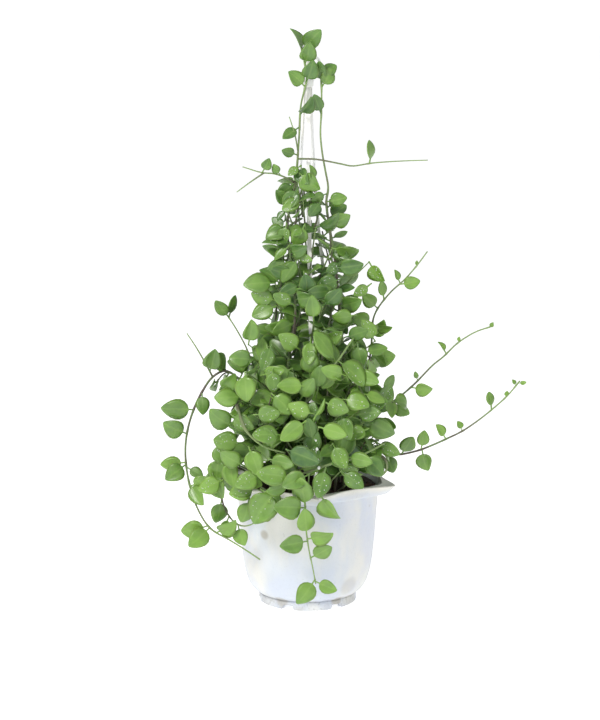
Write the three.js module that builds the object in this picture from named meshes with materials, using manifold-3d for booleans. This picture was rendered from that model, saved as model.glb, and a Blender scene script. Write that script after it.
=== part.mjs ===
// A trailing vine in a white hanging pot: pot, soil, three-strap hanger and the vines that climb and trail.
// Millimetres, +Z up, -Y is the front. The origin is below the middle of the whole object, on the floor.
import * as THREE from "three";
import { mergeVertices } from "three/addons/utils/BufferGeometryUtils.js";
import { ParametricGeometry } from "three/addons/geometries/ParametricGeometry.js";
import Module from "manifold-3d";

const wasm = await Module();
wasm.setup();

// Pot
const POT_HEIGHT = 133;
const NECK_RADIUS = 75; // outside of the body just below the rim's band
const RIM_DROP = 11; // height of the flared band
const BAND_STEP = 7; // the band's lower edge stands out this far beyond the neck
const BAND_FLARE = 5; // and its upper edge this far beyond its lower one
const CORNER_REACH = 11; // the rim's six blunt corners reach this far beyond its straight sides
const MOUTH_FLARE = 4; // the mouth is this much wider than the neck's outside, in radius
const BELLY_RADIUS = 71; // outside of the body at half height
const HEEL_RADIUS = 60; // outside of the body just above the foot
const FOOT_RADIUS = 52;
const FOOT_HEIGHT = 9.5;
const FOOT_WALL = 6;
const FOOT_COUNT = 6;
const NOTCH_DEGREES = 14;
const NOTCH_HEIGHT = 5;
const WALL = 2.2;
const FLOOR_UNDERSIDE = 6;
const FLOOR_THICKNESS = 2.5;
const DRAIN_RADIUS = 4;
const DRAIN_CIRCLE = 34;
const CORNER_AZIMUTH = 6; // degrees from the front towards +X, of the first rim corner
const POT_SEGMENTS = 42;

// Soil
const SOIL_BELOW_RIM = 9;
const SOIL_MOUND = 4;
const SOIL_SEGMENTS = POT_SEGMENTS / 2;

// Hanger
const STRAP_COUNT = 3;
const STRAP_WIDTH = 4.6;
const STRAP_THICKNESS = 1.4;
const STRAP_INSET = 1; // a strap stands on the rim this far inside its straight sides
const STRAP_TOP_RADIUS = 4.2;
const STRAP_STRETCHES = 12; // straight stretches of a strap
const STRAP_LENGTH_UP = 404; // height of the straps' tops above the clips
const CLIP_SIZE = new THREE.Vector3(9, 10, 5);
const HUB_RADIUS = 6;
const HUB_HEIGHT = 8;
const HOOK_BEND = 6;
const HOOK_WIRE = 1.5;

// Plant
const STEM_SIDES = 5;
const STEM_STEP = 24; // length of one straight stretch of a stem
const STALK_LENGTH = 5;
const STALK_RADIUS = 0.9;
const LEAF_ROWS = 5; // stretches along a leaf, from inside the stem to the tip
const LEAF_ASPECT = 0.74; // blade width over blade length
const LEAF_HALF_THICKNESS = 0.75;
const LEAF_CUP = 0.03; // how far the blade's edges rise, as a share of its length
const LEAF_DROOP = 0.14; // how far the tip bends back, as a share of the length
const LEAF_LENGTH = 26;
const PAIR_SPACING = 23;
const PAIR_STAGGER = 1.1; // one leaf of a pair sits this much above the middle of the pair, one below
const LEAF_ROOM = 12; // two leaves' centres lie no nearer than this
const SWINGS = [0, 20, -20, 40, -40, 65, -65, 90, -90, 120]; // turns round the stem tried to find free room
const ROOT_DEPTH = 12; // how far the stems go down into the soil

const CLEARANCE = 0.3;

const BAND_RADIUS = NECK_RADIUS + BAND_STEP;
const RIM_FLAT = BAND_RADIUS + BAND_FLARE; // from the axis to the middle of each straight side of the rim
const RIM_CORNER = RIM_FLAT + CORNER_REACH;
const MOUTH_RADIUS = NECK_RADIUS + MOUTH_FLARE;
const STRAP_FOOT_RADIUS = RIM_FLAT - STRAP_INSET;
const SOIL_TOP = POT_HEIGHT - SOIL_BELOW_RIM;
const ROOT_BELOW_RIM = SOIL_BELOW_RIM + ROOT_DEPTH;
const CLIP_BASE = POT_HEIGHT + CLEARANCE;
const STRAP_BASE = CLIP_BASE + CLIP_SIZE.z + CLEARANCE;
const STRAP_TOP = STRAP_BASE + STRAP_LENGTH_UP;
const HUB_BASE = STRAP_TOP + CLEARANCE;

const radians = THREE.MathUtils.degToRad;
const up = new THREE.Vector3(0, 0, 1);
const front = new THREE.Vector3(0, -1, 0);

// A point at a distance from the pot's axis, at an angle from the front towards +X.
function around(radius, azimuth, z) {
  const angle = radians(azimuth);
  return new THREE.Vector3(radius * Math.sin(angle), -radius * Math.cos(angle), z);
}

// ---------- Solids: booleans on closed geometries ----------

function toSolid(geometry) {
  const bare = new THREE.BufferGeometry();
  const flat = geometry.index ? geometry.toNonIndexed() : geometry;
  bare.setAttribute("position", flat.getAttribute("position"));
  const merged = mergeVertices(bare, 1e-3);
  const corners = [];
  for (let i = 0; i < merged.index.count; i += 3) {
    const [a, b, c] = [0, 1, 2].map((k) => merged.index.getX(i + k));
    if (a !== b && b !== c && c !== a) corners.push(a, b, c);
  }
  const mesh = new wasm.Mesh({
    numProp: 3,
    vertProperties: new Float32Array(merged.attributes.position.array),
    triVerts: new Uint32Array(corners),
  });
  return new wasm.Manifold(mesh);
}

function toGeometry(solid) {
  const mesh = solid.getMesh();
  const geometry = new THREE.BufferGeometry();
  geometry.setAttribute("position", new THREE.BufferAttribute(mesh.vertProperties, 3));
  geometry.setIndex(new THREE.BufferAttribute(mesh.triVerts, 1));
  return geometry;
}

function largestPiece(solid) {
  const pieces = solid.decompose();
  return pieces.reduce((best, piece) => (piece.volume() > best.volume() ? piece : best));
}

const join = (solids) => solids.reduce((whole, solid) => whole.add(solid));

// ---------- Pot ----------

// Outside of the pot from the foot up to the rim's edge, as [radius, height], swollen by grow.
function potOutside(grow) {
  const body = POT_HEIGHT - RIM_DROP;
  return [
    [FOOT_RADIUS + grow, 0],
    [FOOT_RADIUS + grow, FOOT_HEIGHT],
    [HEEL_RADIUS + grow, FOOT_HEIGHT + 6],
    [(HEEL_RADIUS + BELLY_RADIUS) / 2 + grow, FOOT_HEIGHT + 18],
    [BELLY_RADIUS - 2 + grow, body * 0.36],
    [BELLY_RADIUS + grow, body * 0.56],
    [NECK_RADIUS + grow, body - grow],
    [BAND_RADIUS + grow, body - grow],
    [RIM_FLAT + grow, POT_HEIGHT - 1.5],
    [RIM_FLAT + grow, POT_HEIGHT + grow],
  ];
}

// Inside of the pot's wall from its floor up to the mouth, as [radius, height].
function potInside() {
  const floor = FLOOR_UNDERSIDE + FLOOR_THICKNESS;
  const body = POT_HEIGHT - RIM_DROP;
  return [
    [FOOT_RADIUS - WALL, floor],
    [HEEL_RADIUS - WALL, floor + 8],
    [BELLY_RADIUS - 2 - WALL, body * 0.36],
    [BELLY_RADIUS - WALL, body * 0.56],
    [NECK_RADIUS - WALL, body],
    [MOUTH_RADIUS, POT_HEIGHT],
  ];
}

// How far the rim's edge stands out at an azimuth beyond its straight sides: a hexagon with blunt corners.
function cornerBulge(azimuth) {
  const fromFlat = THREE.MathUtils.euclideanModulo(azimuth - CORNER_AZIMUTH, 60) - 30;
  return Math.min(RIM_CORNER, RIM_FLAT / Math.cos(radians(fromFlat))) - RIM_FLAT;
}

function lathe(profile, segments) {
  const points = profile.map(([r, z]) => new THREE.Vector2(r, z));
  return new THREE.LatheGeometry(points, segments).rotateX(Math.PI / 2);
}

// Pushes the rim's band out at its six corners, more towards the edge.
function sixCornered(geometry) {
  const position = geometry.getAttribute("position");
  const point = new THREE.Vector3();
  for (let i = 0; i < position.count; i += 1) {
    point.fromBufferAttribute(position, i);
    const radius = Math.hypot(point.x, point.y);
    const share = THREE.MathUtils.clamp((radius - NECK_RADIUS) / (RIM_FLAT - NECK_RADIUS), 0, 1);
    const isBand = point.z > POT_HEIGHT - RIM_DROP - 1 && radius > BAND_RADIUS - 1;
    if (!isBand) continue;
    const azimuth = THREE.MathUtils.radToDeg(Math.atan2(point.x, -point.y));
    const scale = (radius + share * cornerBulge(azimuth)) / radius;
    position.setXY(i, point.x * scale, point.y * scale);
  }
  return geometry;
}

function potShell() {
  const wall = [
    [0, FLOOR_UNDERSIDE],
    [FOOT_RADIUS - FOOT_WALL, FLOOR_UNDERSIDE],
    [FOOT_RADIUS - FOOT_WALL, 0],
    ...potOutside(0),
    ...potInside().reverse(),
    [0, FLOOR_UNDERSIDE + FLOOR_THICKNESS],
  ];
  let shell = toSolid(sixCornered(lathe(wall, POT_SEGMENTS)));
  const notchWidth = 2 * FOOT_RADIUS * Math.sin(radians(NOTCH_DEGREES / 2));
  for (let i = 0; i < FOOT_COUNT; i += 1) {
    const azimuth = CORNER_AZIMUTH + (i + 0.5) * (360 / FOOT_COUNT);
    const notch = new THREE.BoxGeometry(notchWidth, FOOT_WALL * 3, NOTCH_HEIGHT * 2);
    notch.translate(0, -(FOOT_RADIUS - FOOT_WALL / 2), 0);
    notch.rotateZ(radians(azimuth));
    shell = shell.subtract(toSolid(notch));
    const drain = new THREE.CylinderGeometry(DRAIN_RADIUS, DRAIN_RADIUS, FLOOR_THICKNESS * 3, 8);
    drain.rotateX(Math.PI / 2);
    const place = around(DRAIN_CIRCLE, azimuth, FLOOR_UNDERSIDE + FLOOR_THICKNESS / 2);
    drain.translate(place.x, place.y, place.z);
    shell = shell.subtract(toSolid(drain));
  }
  return shell;
}

// Everything inside the pot's outline up to its rim, with a clearance, that no leaf may enter.
function potOutline() {
  const profile = [[0, 0], ...potOutside(CLEARANCE), [0, POT_HEIGHT + CLEARANCE]];
  return toSolid(sixCornered(lathe(profile, POT_SEGMENTS)));
}

// The mouth above the soil, where leaves may hang inside the pot.
function potMouth() {
  const depth = SOIL_BELOW_RIM - SOIL_MOUND;
  const mouth = new THREE.CylinderGeometry(NECK_RADIUS - WALL - 1, NECK_RADIUS - WALL - 1, depth * 2, 24);
  mouth.rotateX(Math.PI / 2);
  mouth.translate(0, 0, SOIL_TOP + SOIL_MOUND + CLEARANCE + depth);
  return toSolid(mouth);
}

function soilMass(stemsInSoil) {
  const top = SOIL_TOP;
  const inside = potInside().filter(([, z]) => z < top - 1);
  const wallPoints = inside.map(([r, z], i) => [r - CLEARANCE, i === 0 ? z + CLEARANCE : z]);
  const profile = [
    [0, FLOOR_UNDERSIDE + FLOOR_THICKNESS + CLEARANCE],
    ...wallPoints,
    [NECK_RADIUS - WALL - CLEARANCE, top],
    [NECK_RADIUS * 0.6, top + SOIL_MOUND * 0.7],
    [0, top + SOIL_MOUND],
  ];
  let soil = toSolid(lathe(profile, SOIL_SEGMENTS));
  for (const stem of stemsInSoil) soil = soil.subtract(stem);
  return largestPiece(soil);
}

// ---------- Hanger ----------

// Distance of a strap from the pot's axis: wide at the rim, drawn in by the vines, close at the hub.
function strapRadius(z) {
  const share = THREE.MathUtils.clamp((z - STRAP_BASE) / STRAP_LENGTH_UP, 0, 1);
  const reach = STRAP_FOOT_RADIUS - STRAP_TOP_RADIUS;
  return STRAP_TOP_RADIUS + reach * (0.8 * (1 - share) ** 2.6 + 0.2 * (1 - share));
}

// A strap is its side view, a thin bent band, extruded over its width.
function strapGeometry(azimuth, grow) {
  const outer = [];
  for (let i = 0; i <= STRAP_STRETCHES; i += 1) {
    const z = STRAP_BASE + (STRAP_LENGTH_UP * i) / STRAP_STRETCHES;
    outer.push(new THREE.Vector2(strapRadius(z) + grow, z));
  }
  const band = STRAP_THICKNESS + 2 * grow;
  const inner = outer.map((p) => new THREE.Vector2(p.x - band, p.y)).reverse();
  const side = new THREE.Shape([...outer, ...inner]);
  const width = STRAP_WIDTH + 2 * grow;
  const strap = new THREE.ExtrudeGeometry(side, { depth: width, bevelEnabled: false });
  strap.translate(0, 0, -width / 2);
  strap.rotateX(Math.PI / 2);
  return strap.rotateZ(radians(azimuth - 90));
}

function clipGeometry(azimuth, grow) {
  const [width, depth, height] = CLIP_SIZE.toArray().map((size) => size + 2 * grow);
  const clip = new THREE.BoxGeometry(width, depth, height);
  clip.translate(0, -STRAP_FOOT_RADIUS, CLIP_BASE + CLIP_SIZE.z / 2);
  return clip.rotateZ(radians(azimuth));
}

function hookSolid(grow) {
  const hub = new THREE.CylinderGeometry(HUB_RADIUS + grow, HUB_RADIUS + grow, HUB_HEIGHT + 2 * grow, 12);
  hub.rotateX(Math.PI / 2);
  hub.translate(0, 0, HUB_BASE + HUB_HEIGHT / 2);
  const top = HUB_BASE + HUB_HEIGHT;
  const route = [new THREE.Vector3(0, 0, top - 2), new THREE.Vector3(0, 0, top + 12)];
  for (let angle = 180; angle >= -30; angle -= 30) {
    const x = HOOK_BEND + HOOK_BEND * Math.cos(radians(angle));
    route.push(new THREE.Vector3(x, 0, top + 16 + HOOK_BEND * Math.sin(radians(angle))));
  }
  return toSolid(hub).add(toSolid(tube(route, HOOK_WIRE + grow, 16, 6)));
}

// ---------- Plant ----------

function tube(route, radius, steps, sides) {
  const section = new THREE.Shape();
  for (let i = 0; i < sides; i += 1) {
    const angle = (i / sides) * 2 * Math.PI;
    const [x, y] = [radius * Math.cos(angle), radius * Math.sin(angle)];
    if (i === 0) section.moveTo(x, y);
    else section.lineTo(x, y);
  }
  section.closePath();
  const extrudePath = new THREE.CatmullRomCurve3(route, false, "centripetal");
  return new THREE.ExtrudeGeometry(section, { extrudePath, steps });
}

// A leaf as a closed skin. u runs from inside the stem along the stalk and blade to the tip, and v around.
// Across, it is flat above with a keel below. The blade is an egg shape with its tip bent back.
function leafGeometry(length, grow) {
  const halfWidth = (length * LEAF_ASPECT) / 2;
  const skin = (u, v, point) => {
    const row = Math.round(u * LEAF_ROWS);
    const blade = [0, 0, 0, 0.32, 0.72, 1][row];
    const along = row < 2 ? [-0.6, 0.4][row] : STALK_LENGTH + blade * length;
    const swell = row === 0 || row === LEAF_ROWS ? 0 : 1;
    const half = swell * (grow + Math.max(STALK_RADIUS, halfWidth * Math.sin(Math.PI * blade ** 0.85)));
    const thick = swell * (grow + (blade > 0 ? LEAF_HALF_THICKNESS : STALK_RADIUS));
    const [reach, rise] = [[-1, 0], [1, 0], [0, 1]][Math.round(v * 3) % 3];
    const across = half * reach;
    const cup = LEAF_CUP * length * Math.min(1, Math.abs(across) / halfWidth) ** 2;
    const droop = LEAF_DROOP * length * blade ** 2;
    const tip = row === LEAF_ROWS ? grow : 0;
    point.set(along + tip, across, thick * (0.6 - 1.6 * rise) + cup - droop);
  };
  return new ParametricGeometry(skin, 3, LEAF_ROWS);
}

// A stem is built in straight stretches. This gives how many, and a point in the middle of the stem.
const stretches = (curve) => Math.max(3, Math.round(curve.getLength() / STEM_STEP));

function stemPoint(curve, share) {
  const count = stretches(curve);
  const k = Math.min(count - 1, Math.floor(share * count));
  const start = curve.getPointAt(k / count);
  return start.lerp(curve.getPointAt((k + 1) / count), share * count - k);
}

// Stands a leaf at a point of its stem, pointing along direction, with its upper side towards face.
function leafMatrix({ base, direction, face }) {
  const x = direction.clone().normalize();
  const z = face.clone().addScaledVector(x, -face.dot(x)).normalize();
  const y = z.clone().cross(x);
  return new THREE.Matrix4().makeBasis(x, y, z).setPosition(base);
}

// A leaf placed by hand: share along its stem, heading in the front view in degrees from +X,
// lean towards the front, blade length, and roll of the blade about its own line.
function handLeaf(curve, [share, heading, lean, length, roll]) {
  const [h, l] = [radians(heading), radians(lean)];
  const direction = new THREE.Vector3(Math.cos(h) * Math.cos(l), -Math.sin(l), Math.sin(h) * Math.cos(l));
  const facing = Math.abs(direction.dot(front)) > 0.85 ? up : front;
  const face = facing.clone().addScaledVector(direction, -facing.dot(direction)).normalize();
  face.applyAxisAngle(direction, radians(roll));
  return { base: stemPoint(curve, share), tangent: curve.getTangentAt(share), direction, face, length };
}

// Opposite pairs at even spacing, turned round the stem from pair to pair, smaller towards the tip.
function leafPairs(curve, { from, turn, phase, scale, end = 1 }) {
  const total = curve.getLength();
  const count = Math.floor((total * end - from) / PAIR_SPACING);
  const leaves = [];
  for (let k = 0; k <= count; k += 1) {
    const share = Math.min(0.98, (from + k * PAIR_SPACING) / total);
    const tangent = curve.getTangentAt(share);
    const base = stemPoint(curve, share);
    const outward = new THREE.Vector3(base.x, base.y, 0).normalize();
    const side = tangent.clone().cross(Math.abs(tangent.z) > 0.8 ? outward : up).normalize();
    const other = side.clone().cross(tangent);
    const angle = radians(phase + turn * k);
    for (const sign of [1, -1]) {
      const reach = side.clone().multiplyScalar(sign * Math.cos(angle));
      reach.addScaledVector(other, sign * Math.sin(angle));
      const wave = Math.sin(phase + 2.4 * k + sign);
      const direction = reach.clone().addScaledVector(tangent, 0.45 + 0.2 * wave);
      const face = new THREE.Vector3(0, 0, 0.75 + 0.3 * wave).add(outward).addScaledVector(tangent, 0.3);
      const length = LEAF_LENGTH * scale * (1 - 0.4 * share ** 3) * (1 + 0.12 * wave);
      const foot = stemPoint(curve, share + (sign * PAIR_STAGGER) / total);
      leaves.push({ base: foot, tangent, direction: direction.normalize(), face, length });
    }
  }
  return leaves;
}

const leafCentre = ({ base, direction, length }) =>
  base.clone().addScaledVector(direction, STALK_LENGTH + length / 2);

// A point of a route, from the pot's axis and its height above the rim.
const fromAxis = ([x, y, height]) => new THREE.Vector3(x, y, POT_HEIGHT + height);

// A point of a vine that hangs over the rim: azimuth, distance beyond the rim's corners, height above the rim.
const fromRim = ([azimuth, beyond, height]) => around(RIM_CORNER + beyond, azimuth, POT_HEIGHT + height);

// Distance from the axis of the vines that wind round the straps: inside them below, outside them above.
const CLIMBER_RADIUS = 34;
const CLIMBER_GAP = 8; // outside of the straps
const woundRadius = (height) => Math.min(CLIMBER_RADIUS, strapRadius(POT_HEIGHT + height) + CLIMBER_GAP);

// A point of a vine that climbs outside those: azimuth, distance beyond them, height above the rim.
const fromClimbers = ([azimuth, beyond, height]) =>
  around(woundRadius(height) + beyond, azimuth, POT_HEIGHT + height);

// Bases and shapes of the vines. A route is a list of points from the soil to the tip.
const handVines = {
  vine_trailing_left: {
    place: fromRim,
    radius: 1.4,
    route: [
      [-71.6, -50.6, -ROOT_BELOW_RIM],
      [-74.9, -44.1, 37],
      [-77.4, -38.6, 82],
      [-79.8, -24.8, 107],
      [-80.8, -10.9, 116],
      [-80.8, 2.3, 110],
      [-79.7, 13.8, 95],
      [-78.5, 22.4, 79],
      [-77.3, 29.1, 61],
      [-75.9, 33, 43],
      [-74.2, 34, 25],
      [-71.1, 32, 1],
      [-65.5, 27.3, -23],
      [-57.6, 21.6, -40],
      [-45.4, 13, -50],
      [-36.2, 8.6, -58],
      [-28, 6.2, -66],
    ],
    leaves: [
      [0.25, 200, 20, 24, 10],
      [0.3, 60, 30, 24, -20],
      [0.46, -85, 30, 20, 0],
      [0.51, 178, 5, 30, 10],
      [0.575, 155, 25, 24, 0],
      [0.65, 185, 0, 22, 20],
      [0.655, 212, 30, 23, 0],
      [0.662, -25, 20, 16, -30],
      [0.705, -50, 30, 25, 0],
      [0.712, 20, 20, 20, 0],
      [0.83, 195, 10, 25, 0],
      [0.837, 218, 35, 26, 10],
      [0.86, 30, 30, 24, 10],
    ],
    branches: [
      {
        from: 0.411,
        radius: 1,
        route: [
          [-81.9, 9.1, 123],
          [-84.1, 18.6, 140],
          [-85.5, 28.4, 155],
        ],
        leaves: [[0.12, 75, 35, 27, 0]],
      },
    ],
  },
  vine_left_arc: {
    place: fromRim,
    radius: 1.2,
    route: [
      [-59, -39.7, -ROOT_BELOW_RIM],
      [-58, -22.5, 14],
      [-57.5, -3.1, 20],
      [-57.2, 9.1, 5],
      [-54.8, 9.6, -13],
      [-50.1, 4.9, -30],
      [-44.6, 0.3, -36],
      [-37, -1.6, -33],
      [-30, -2.1, -24],
    ],
    leaves: [
      [0.3, 110, 30, 25, 0],
      [0.42, 200, 30, 24, 0],
      [0.5, 20, 40, 22, 0],
      [0.6, -100, 10, 22, 0],
      [0.72, -110, 5, 14, 0],
      [0.8, -75, 20, 19, 0],
      [0.97, 40, 30, 18, 0],
    ],
  },
  vine_front_sprig: {
    place: fromRim,
    radius: 1.1,
    route: [
      [-8.1, -55.6, -ROOT_BELOW_RIM],
      [-8.8, -39.3, 13],
      [-5.7, -17.6, 25],
      [-2.9, 1.1, 15],
      [-1.6, 8, -3],
      [-1.1, 6, -29],
      [0.6, 4, -53],
      [2.9, 2.1, -73],
      [4.7, 0.3, -90],
    ],
    leaves: [
      [0.28, 150, 35, 25, 0],
      [0.3, 30, 35, 25, 0],
      [0.56, 98, 25, 30, 0],
      [0.57, 165, 25, 27, 0],
      [0.58, 30, 40, 27, 0],
      [0.72, 95, 20, 28, 20],
      [0.745, 20, 25, 26, 0],
      [0.755, 185, 25, 26, 0],
      [0.85, 35, 25, 25, 15],
      [0.975, 235, 20, 27, 0],
      [0.985, -20, 20, 20, 0],
    ],
  },
  vine_left_sprig: {
    radius: 1.2,
    route: [
      [-40, 10, -ROOT_BELOW_RIM],
      [-47, 8, 47],
      [-53, 4, 102],
      [-63, 0, 135],
      [-74, -2, 157],
      [-84, -2, 173],
    ],
    leaves: [
      [0.3, 160, 20, 24, 0],
      [0.42, 20, 30, 24, 0],
      [0.55, 190, 20, 25, 0],
      [0.63, 60, 30, 25, 0],
      [0.7, 165, 25, 24, 20],
      [0.77, 10, 30, 24, 0],
      [0.98, 125, 15, 21, 0],
      [0.985, 75, -10, 20, 60],
    ],
  },
  vine_right_low: {
    radius: 1.3,
    route: [
      [48, -12, -ROOT_BELOW_RIM],
      [55, -12, 17],
      [72, -12, 30],
      [92, -12, 26],
      [115, -12, 30],
      [133, -12, 37],
      [146, -12, 43],
      [162, -12, 51],
      [178, -12, 62],
      [194, -12, 75],
      [210, -12, 90],
      [222, -12, 105],
    ],
    leaves: [
      [0.12, 40, 30, 24, 0],
      [0.2, 150, 40, 24, 0],
      [0.3, -70, 20, 19, 30],
      [0.37, 60, 30, 22, 20],
      [0.46, 80, 10, 17, 10],
      [0.465, -80, 15, 20, 0],
      [0.58, 120, 10, 15, 30],
      [0.66, 110, 0, 9, 20],
      [0.82, 95, 0, 15, 50],
      [0.9, 70, 0, 6, 0],
      [0.97, 110, 0, 6, 30],
      [0.985, 10, 0, 7, 0],
    ],
  },
  vine_right_high: {
    radius: 1.3,
    route: [
      [46, 4, -ROOT_BELOW_RIM],
      [56, 4, 27],
      [76, 4, 67],
      [101, 4, 88],
      [114, 4, 100],
      [132, 4, 119],
      [143, 4, 128],
      [156, 4, 141],
      [167, 4, 149],
      [178, 4, 155],
      [193, 4, 160],
    ],
    leaves: [
      [0.14, 170, 30, 24, 0],
      [0.2, 20, 40, 24, 0],
      [0.28, 100, 30, 23, 0],
      [0.34, -10, 30, 23, 0],
      [0.4, 130, 20, 22, 0],
      [0.45, -35, 15, 19, 30],
      [0.56, -8, 10, 19, 0],
      [0.6, 105, 0, 8, 0],
      [0.77, 120, 0, 12, 50],
      [0.84, 80, 0, 5, 0],
      [0.985, 40, 0, 6, 0],
    ],
  },
  vine_right_upper: {
    radius: 1.3,
    route: [
      [36, 22, -ROOT_BELOW_RIM],
      [48, 22, 37],
      [60, 18, 87],
      [67, 12, 136],
      [70, 8, 171],
      [86, 6, 195],
      [101, 6, 209],
      [114, 6, 224],
      [125, 6, 239],
    ],
    leaves: [
      [0.3, 150, 20, 24, 0],
      [0.36, 20, 20, 24, 0],
      [0.42, -30, 30, 24, 0],
      [0.48, 160, 40, 23, 0],
      [0.52, 10, 20, 24, 0],
      [0.56, -50, 20, 20, 0],
      [0.6, 60, 20, 22, 0],
      [0.64, 10, 25, 19, 20],
      [0.66, 160, 25, 21, 0],
      [0.72, 135, 20, 19, 0],
      [0.76, 100, 10, 17, 40],
      [0.84, 10, 10, 18, 0],
      [0.845, 115, 0, 12, 30],
      [0.93, 80, 0, 5, 0],
    ],
  },
  climber_left: {
    place: fromClimbers,
    radius: 1.5,
    route: [
      [-21.3, 4.6, -ROOT_BELOW_RIM],
      [-26.6, 10.7, 27],
      [-29.7, 14.4, 77],
      [-25.5, 12.5, 129],
      [-18.9, 6.2, 179],
      [-25.8, 4.9, 217],
      [-38.7, 7.8, 252],
      [-53.1, 4, 279],
      [-49.8, -0.8, 312],
      [-39.3, -0.4, 357],
      [-32.5, 0.1, 392],
      [-5.2, -1.2, 419],
      [-24, -2.4, 437],
      [-48.8, -1.6, 455],
    ],
    leaves: [
      [0.3, 150, 40, 25, 0],
      [0.305, 30, 45, 25, 0],
      [0.4, 200, 40, 25, 0],
      [0.45, 10, 50, 23, 0],
      [0.5, 160, 30, 24, 0],
      [0.55, 20, 50, 22, 0],
      [0.6, 195, 20, 21, 20],
      [0.605, -20, 50, 20, 0],
      [0.65, 130, 20, 20, 0],
      [0.7, 215, 20, 19, 0],
      [0.735, -60, 40, 20, 0],
      [0.76, 160, 30, 16, 0],
      [0.82, 215, 20, 18, 20],
      [0.845, 55, 40, 24, 30],
      [0.905, 135, 20, 20, 0],
      [0.915, 70, 30, 21, 0],
      [0.952, 75, 30, 22, 0],
      [0.978, 103, 10, 24, 70],
      [0.985, 45, 20, 25, 0],
    ],
    branches: [
      {
        from: 0.752,
        radius: 1,
        route: [
          [22.8, 4.7, 337],
          [61.5, 23.6, 332],
          [68.2, 32.1, 330],
          [74.7, 52.2, 333],
          [79.2, 79.7, 335],
          [81.7, 108.3, 336],
        ],
        leaves: [[0.56, 80, 5, 20, 70]],
      },
      {
        from: 0.701,
        radius: 1,
        route: [
          [-57.4, 12.5, 319],
          [-65.4, 21.5, 322],
          [-71.2, 32.7, 323],
          [-76.6, 52.4, 329],
        ],
        leaves: [
          [0.3, 130, 15, 11, 0],
          [0.64, 60, 20, 13, 0],
        ],
        branches: [
          {
            from: 0.607,
            radius: 0.9,
            route: [
              [-74.6, 42.6, 314],
              [-77.6, 56.2, 303],
            ],
          },
        ],
      },
      {
        from: 0.767,
        radius: 0.9,
        route: [
          [-42.9, 4.7, 361],
          [-53.6, 10.1, 380],
        ],
      },
    ],
  },
  climber_right: {
    place: fromClimbers,
    radius: 1.5,
    route: [
      [40.9, 5.7, -ROOT_BELOW_RIM],
      [48.6, 11.3, 32],
      [55.6, 12, 87],
      [56.3, 9.3, 147],
      [58, 4.6, 197],
      [58.4, 5.6, 247],
      [53.6, 3.9, 291],
      [58.2, 6.5, 307],
      [56.3, 4.9, 325],
      [53.7, 3, 342],
      [52.4, 2, 362],
      [60.3, 3, 387],
      [66.8, 3, 412],
      [65.2, 2.1, 427],
    ],
    leaves: [
      [0.25, 30, 40, 25, 0],
      [0.26, 190, 50, 25, 0],
      [0.36, 0, 40, 25, 0],
      [0.37, 160, 50, 24, 0],
      [0.46, 20, 40, 25, 0],
      [0.52, 150, 45, 22, 0],
      [0.58, 10, 20, 23, 20],
      [0.6, -40, 40, 20, 0],
      [0.65, 20, 30, 21, 20],
      [0.7, 15, 20, 18, 0],
      [0.72, 200, 30, 16, 0],
      [0.9, 110, 20, 19, 0],
      [0.96, 60, 10, 19, 20],
      [0.97, 95, 20, 20, 0],
      [0.985, 40, 0, 16, 0],
    ],
  },
};

// Six vines wound up round the straps. They cross from inside to outside the straps between two of them.
const CLIMBER_TWIST = 0.42; // degrees per millimetre of height
const CLIMBER_TOPS = [297, 259, 319, 277, 307, 239]; // above the rim

// Height above the rim at which the straps have come in to the climbers' radius.
function crossingHeight() {
  let [low, high] = [STRAP_BASE, STRAP_TOP];
  for (let k = 0; k < 30; k += 1) {
    const middle = (low + high) / 2;
    if (strapRadius(middle) > CLIMBER_RADIUS) low = middle;
    else high = middle;
  }
  return low - POT_HEIGHT;
}

function woundVines() {
  const vines = {};
  const crossing = crossingHeight();
  CLIMBER_TOPS.forEach((top, i) => {
    const route = [];
    const steps = Math.round((top + ROOT_BELOW_RIM) / 32);
    for (let k = 0; k <= steps; k += 1) {
      const height = ((top + ROOT_BELOW_RIM) * k) / steps - ROOT_BELOW_RIM;
      const azimuth = CORNER_AZIMUTH + 30 + 60 * i + CLIMBER_TWIST * (height - crossing);
      route.push(around(woundRadius(height), azimuth, height).toArray());
    }
    const pairs = { from: 52, turn: 77, phase: 40 * i, scale: 0.88 };
    vines[`climber_wound_${i + 1}`] = { radius: 1.3, route, pairs };
  });
  return vines;
}

// Bushy shoots in upright planes round the pot: a high and a low one in some, and one between in others.
const BUSH_AZIMUTHS = [21, 51, 141, 171, 201, 231, 321];
const BETWEEN_AZIMUTHS = [36, 66, 156, 186, 216, 276, 306, 336];

// Each is an arc of points: distance beyond the climbers' radius, and height above the roots.
const HIGH_ARC = [
  [13, 0],
  [16, 55],
  [20, 104],
  [28, 140],
  [40, 152],
  [52, 142],
];
const MIDDLE_ARC = [
  [13, 0],
  [18, 50],
  [26, 92],
  [38, 116],
  [52, 122],
  [63, 112],
];
const LOW_ARC = [
  [26, 0],
  [30, 34],
  [39, 60],
  [52, 68],
  [64, 56],
];

function bushVines() {
  const vines = {};
  const shoot = (arc, azimuth, lift, pairs) => {
    const route = arc.map(([r, z]) => around(CLIMBER_RADIUS + r, azimuth, z * lift - ROOT_BELOW_RIM).toArray());
    return { radius: 1.3, route, pairs: { turn: 38, scale: 1, ...pairs } };
  };
  BUSH_AZIMUTHS.forEach((azimuth, i) => {
    const lift = 1 + 0.08 * Math.sin(2.1 * i);
    vines[`bush_high_${i + 1}`] = shoot(HIGH_ARC, azimuth, lift, { from: 50, phase: 15 + 26 * i });
    vines[`bush_low_${i + 1}`] = shoot(LOW_ARC, azimuth, lift, { from: 34, phase: 70 - 30 * i });
  });
  BETWEEN_AZIMUTHS.forEach((azimuth, i) => {
    const lift = 1 + 0.1 * Math.sin(2.6 * i + 1);
    vines[`bush_middle_${i + 1}`] = shoot(MIDDLE_ARC, azimuth, lift, { from: 40, phase: 40 + 34 * i });
  });
  return vines;
}

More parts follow.
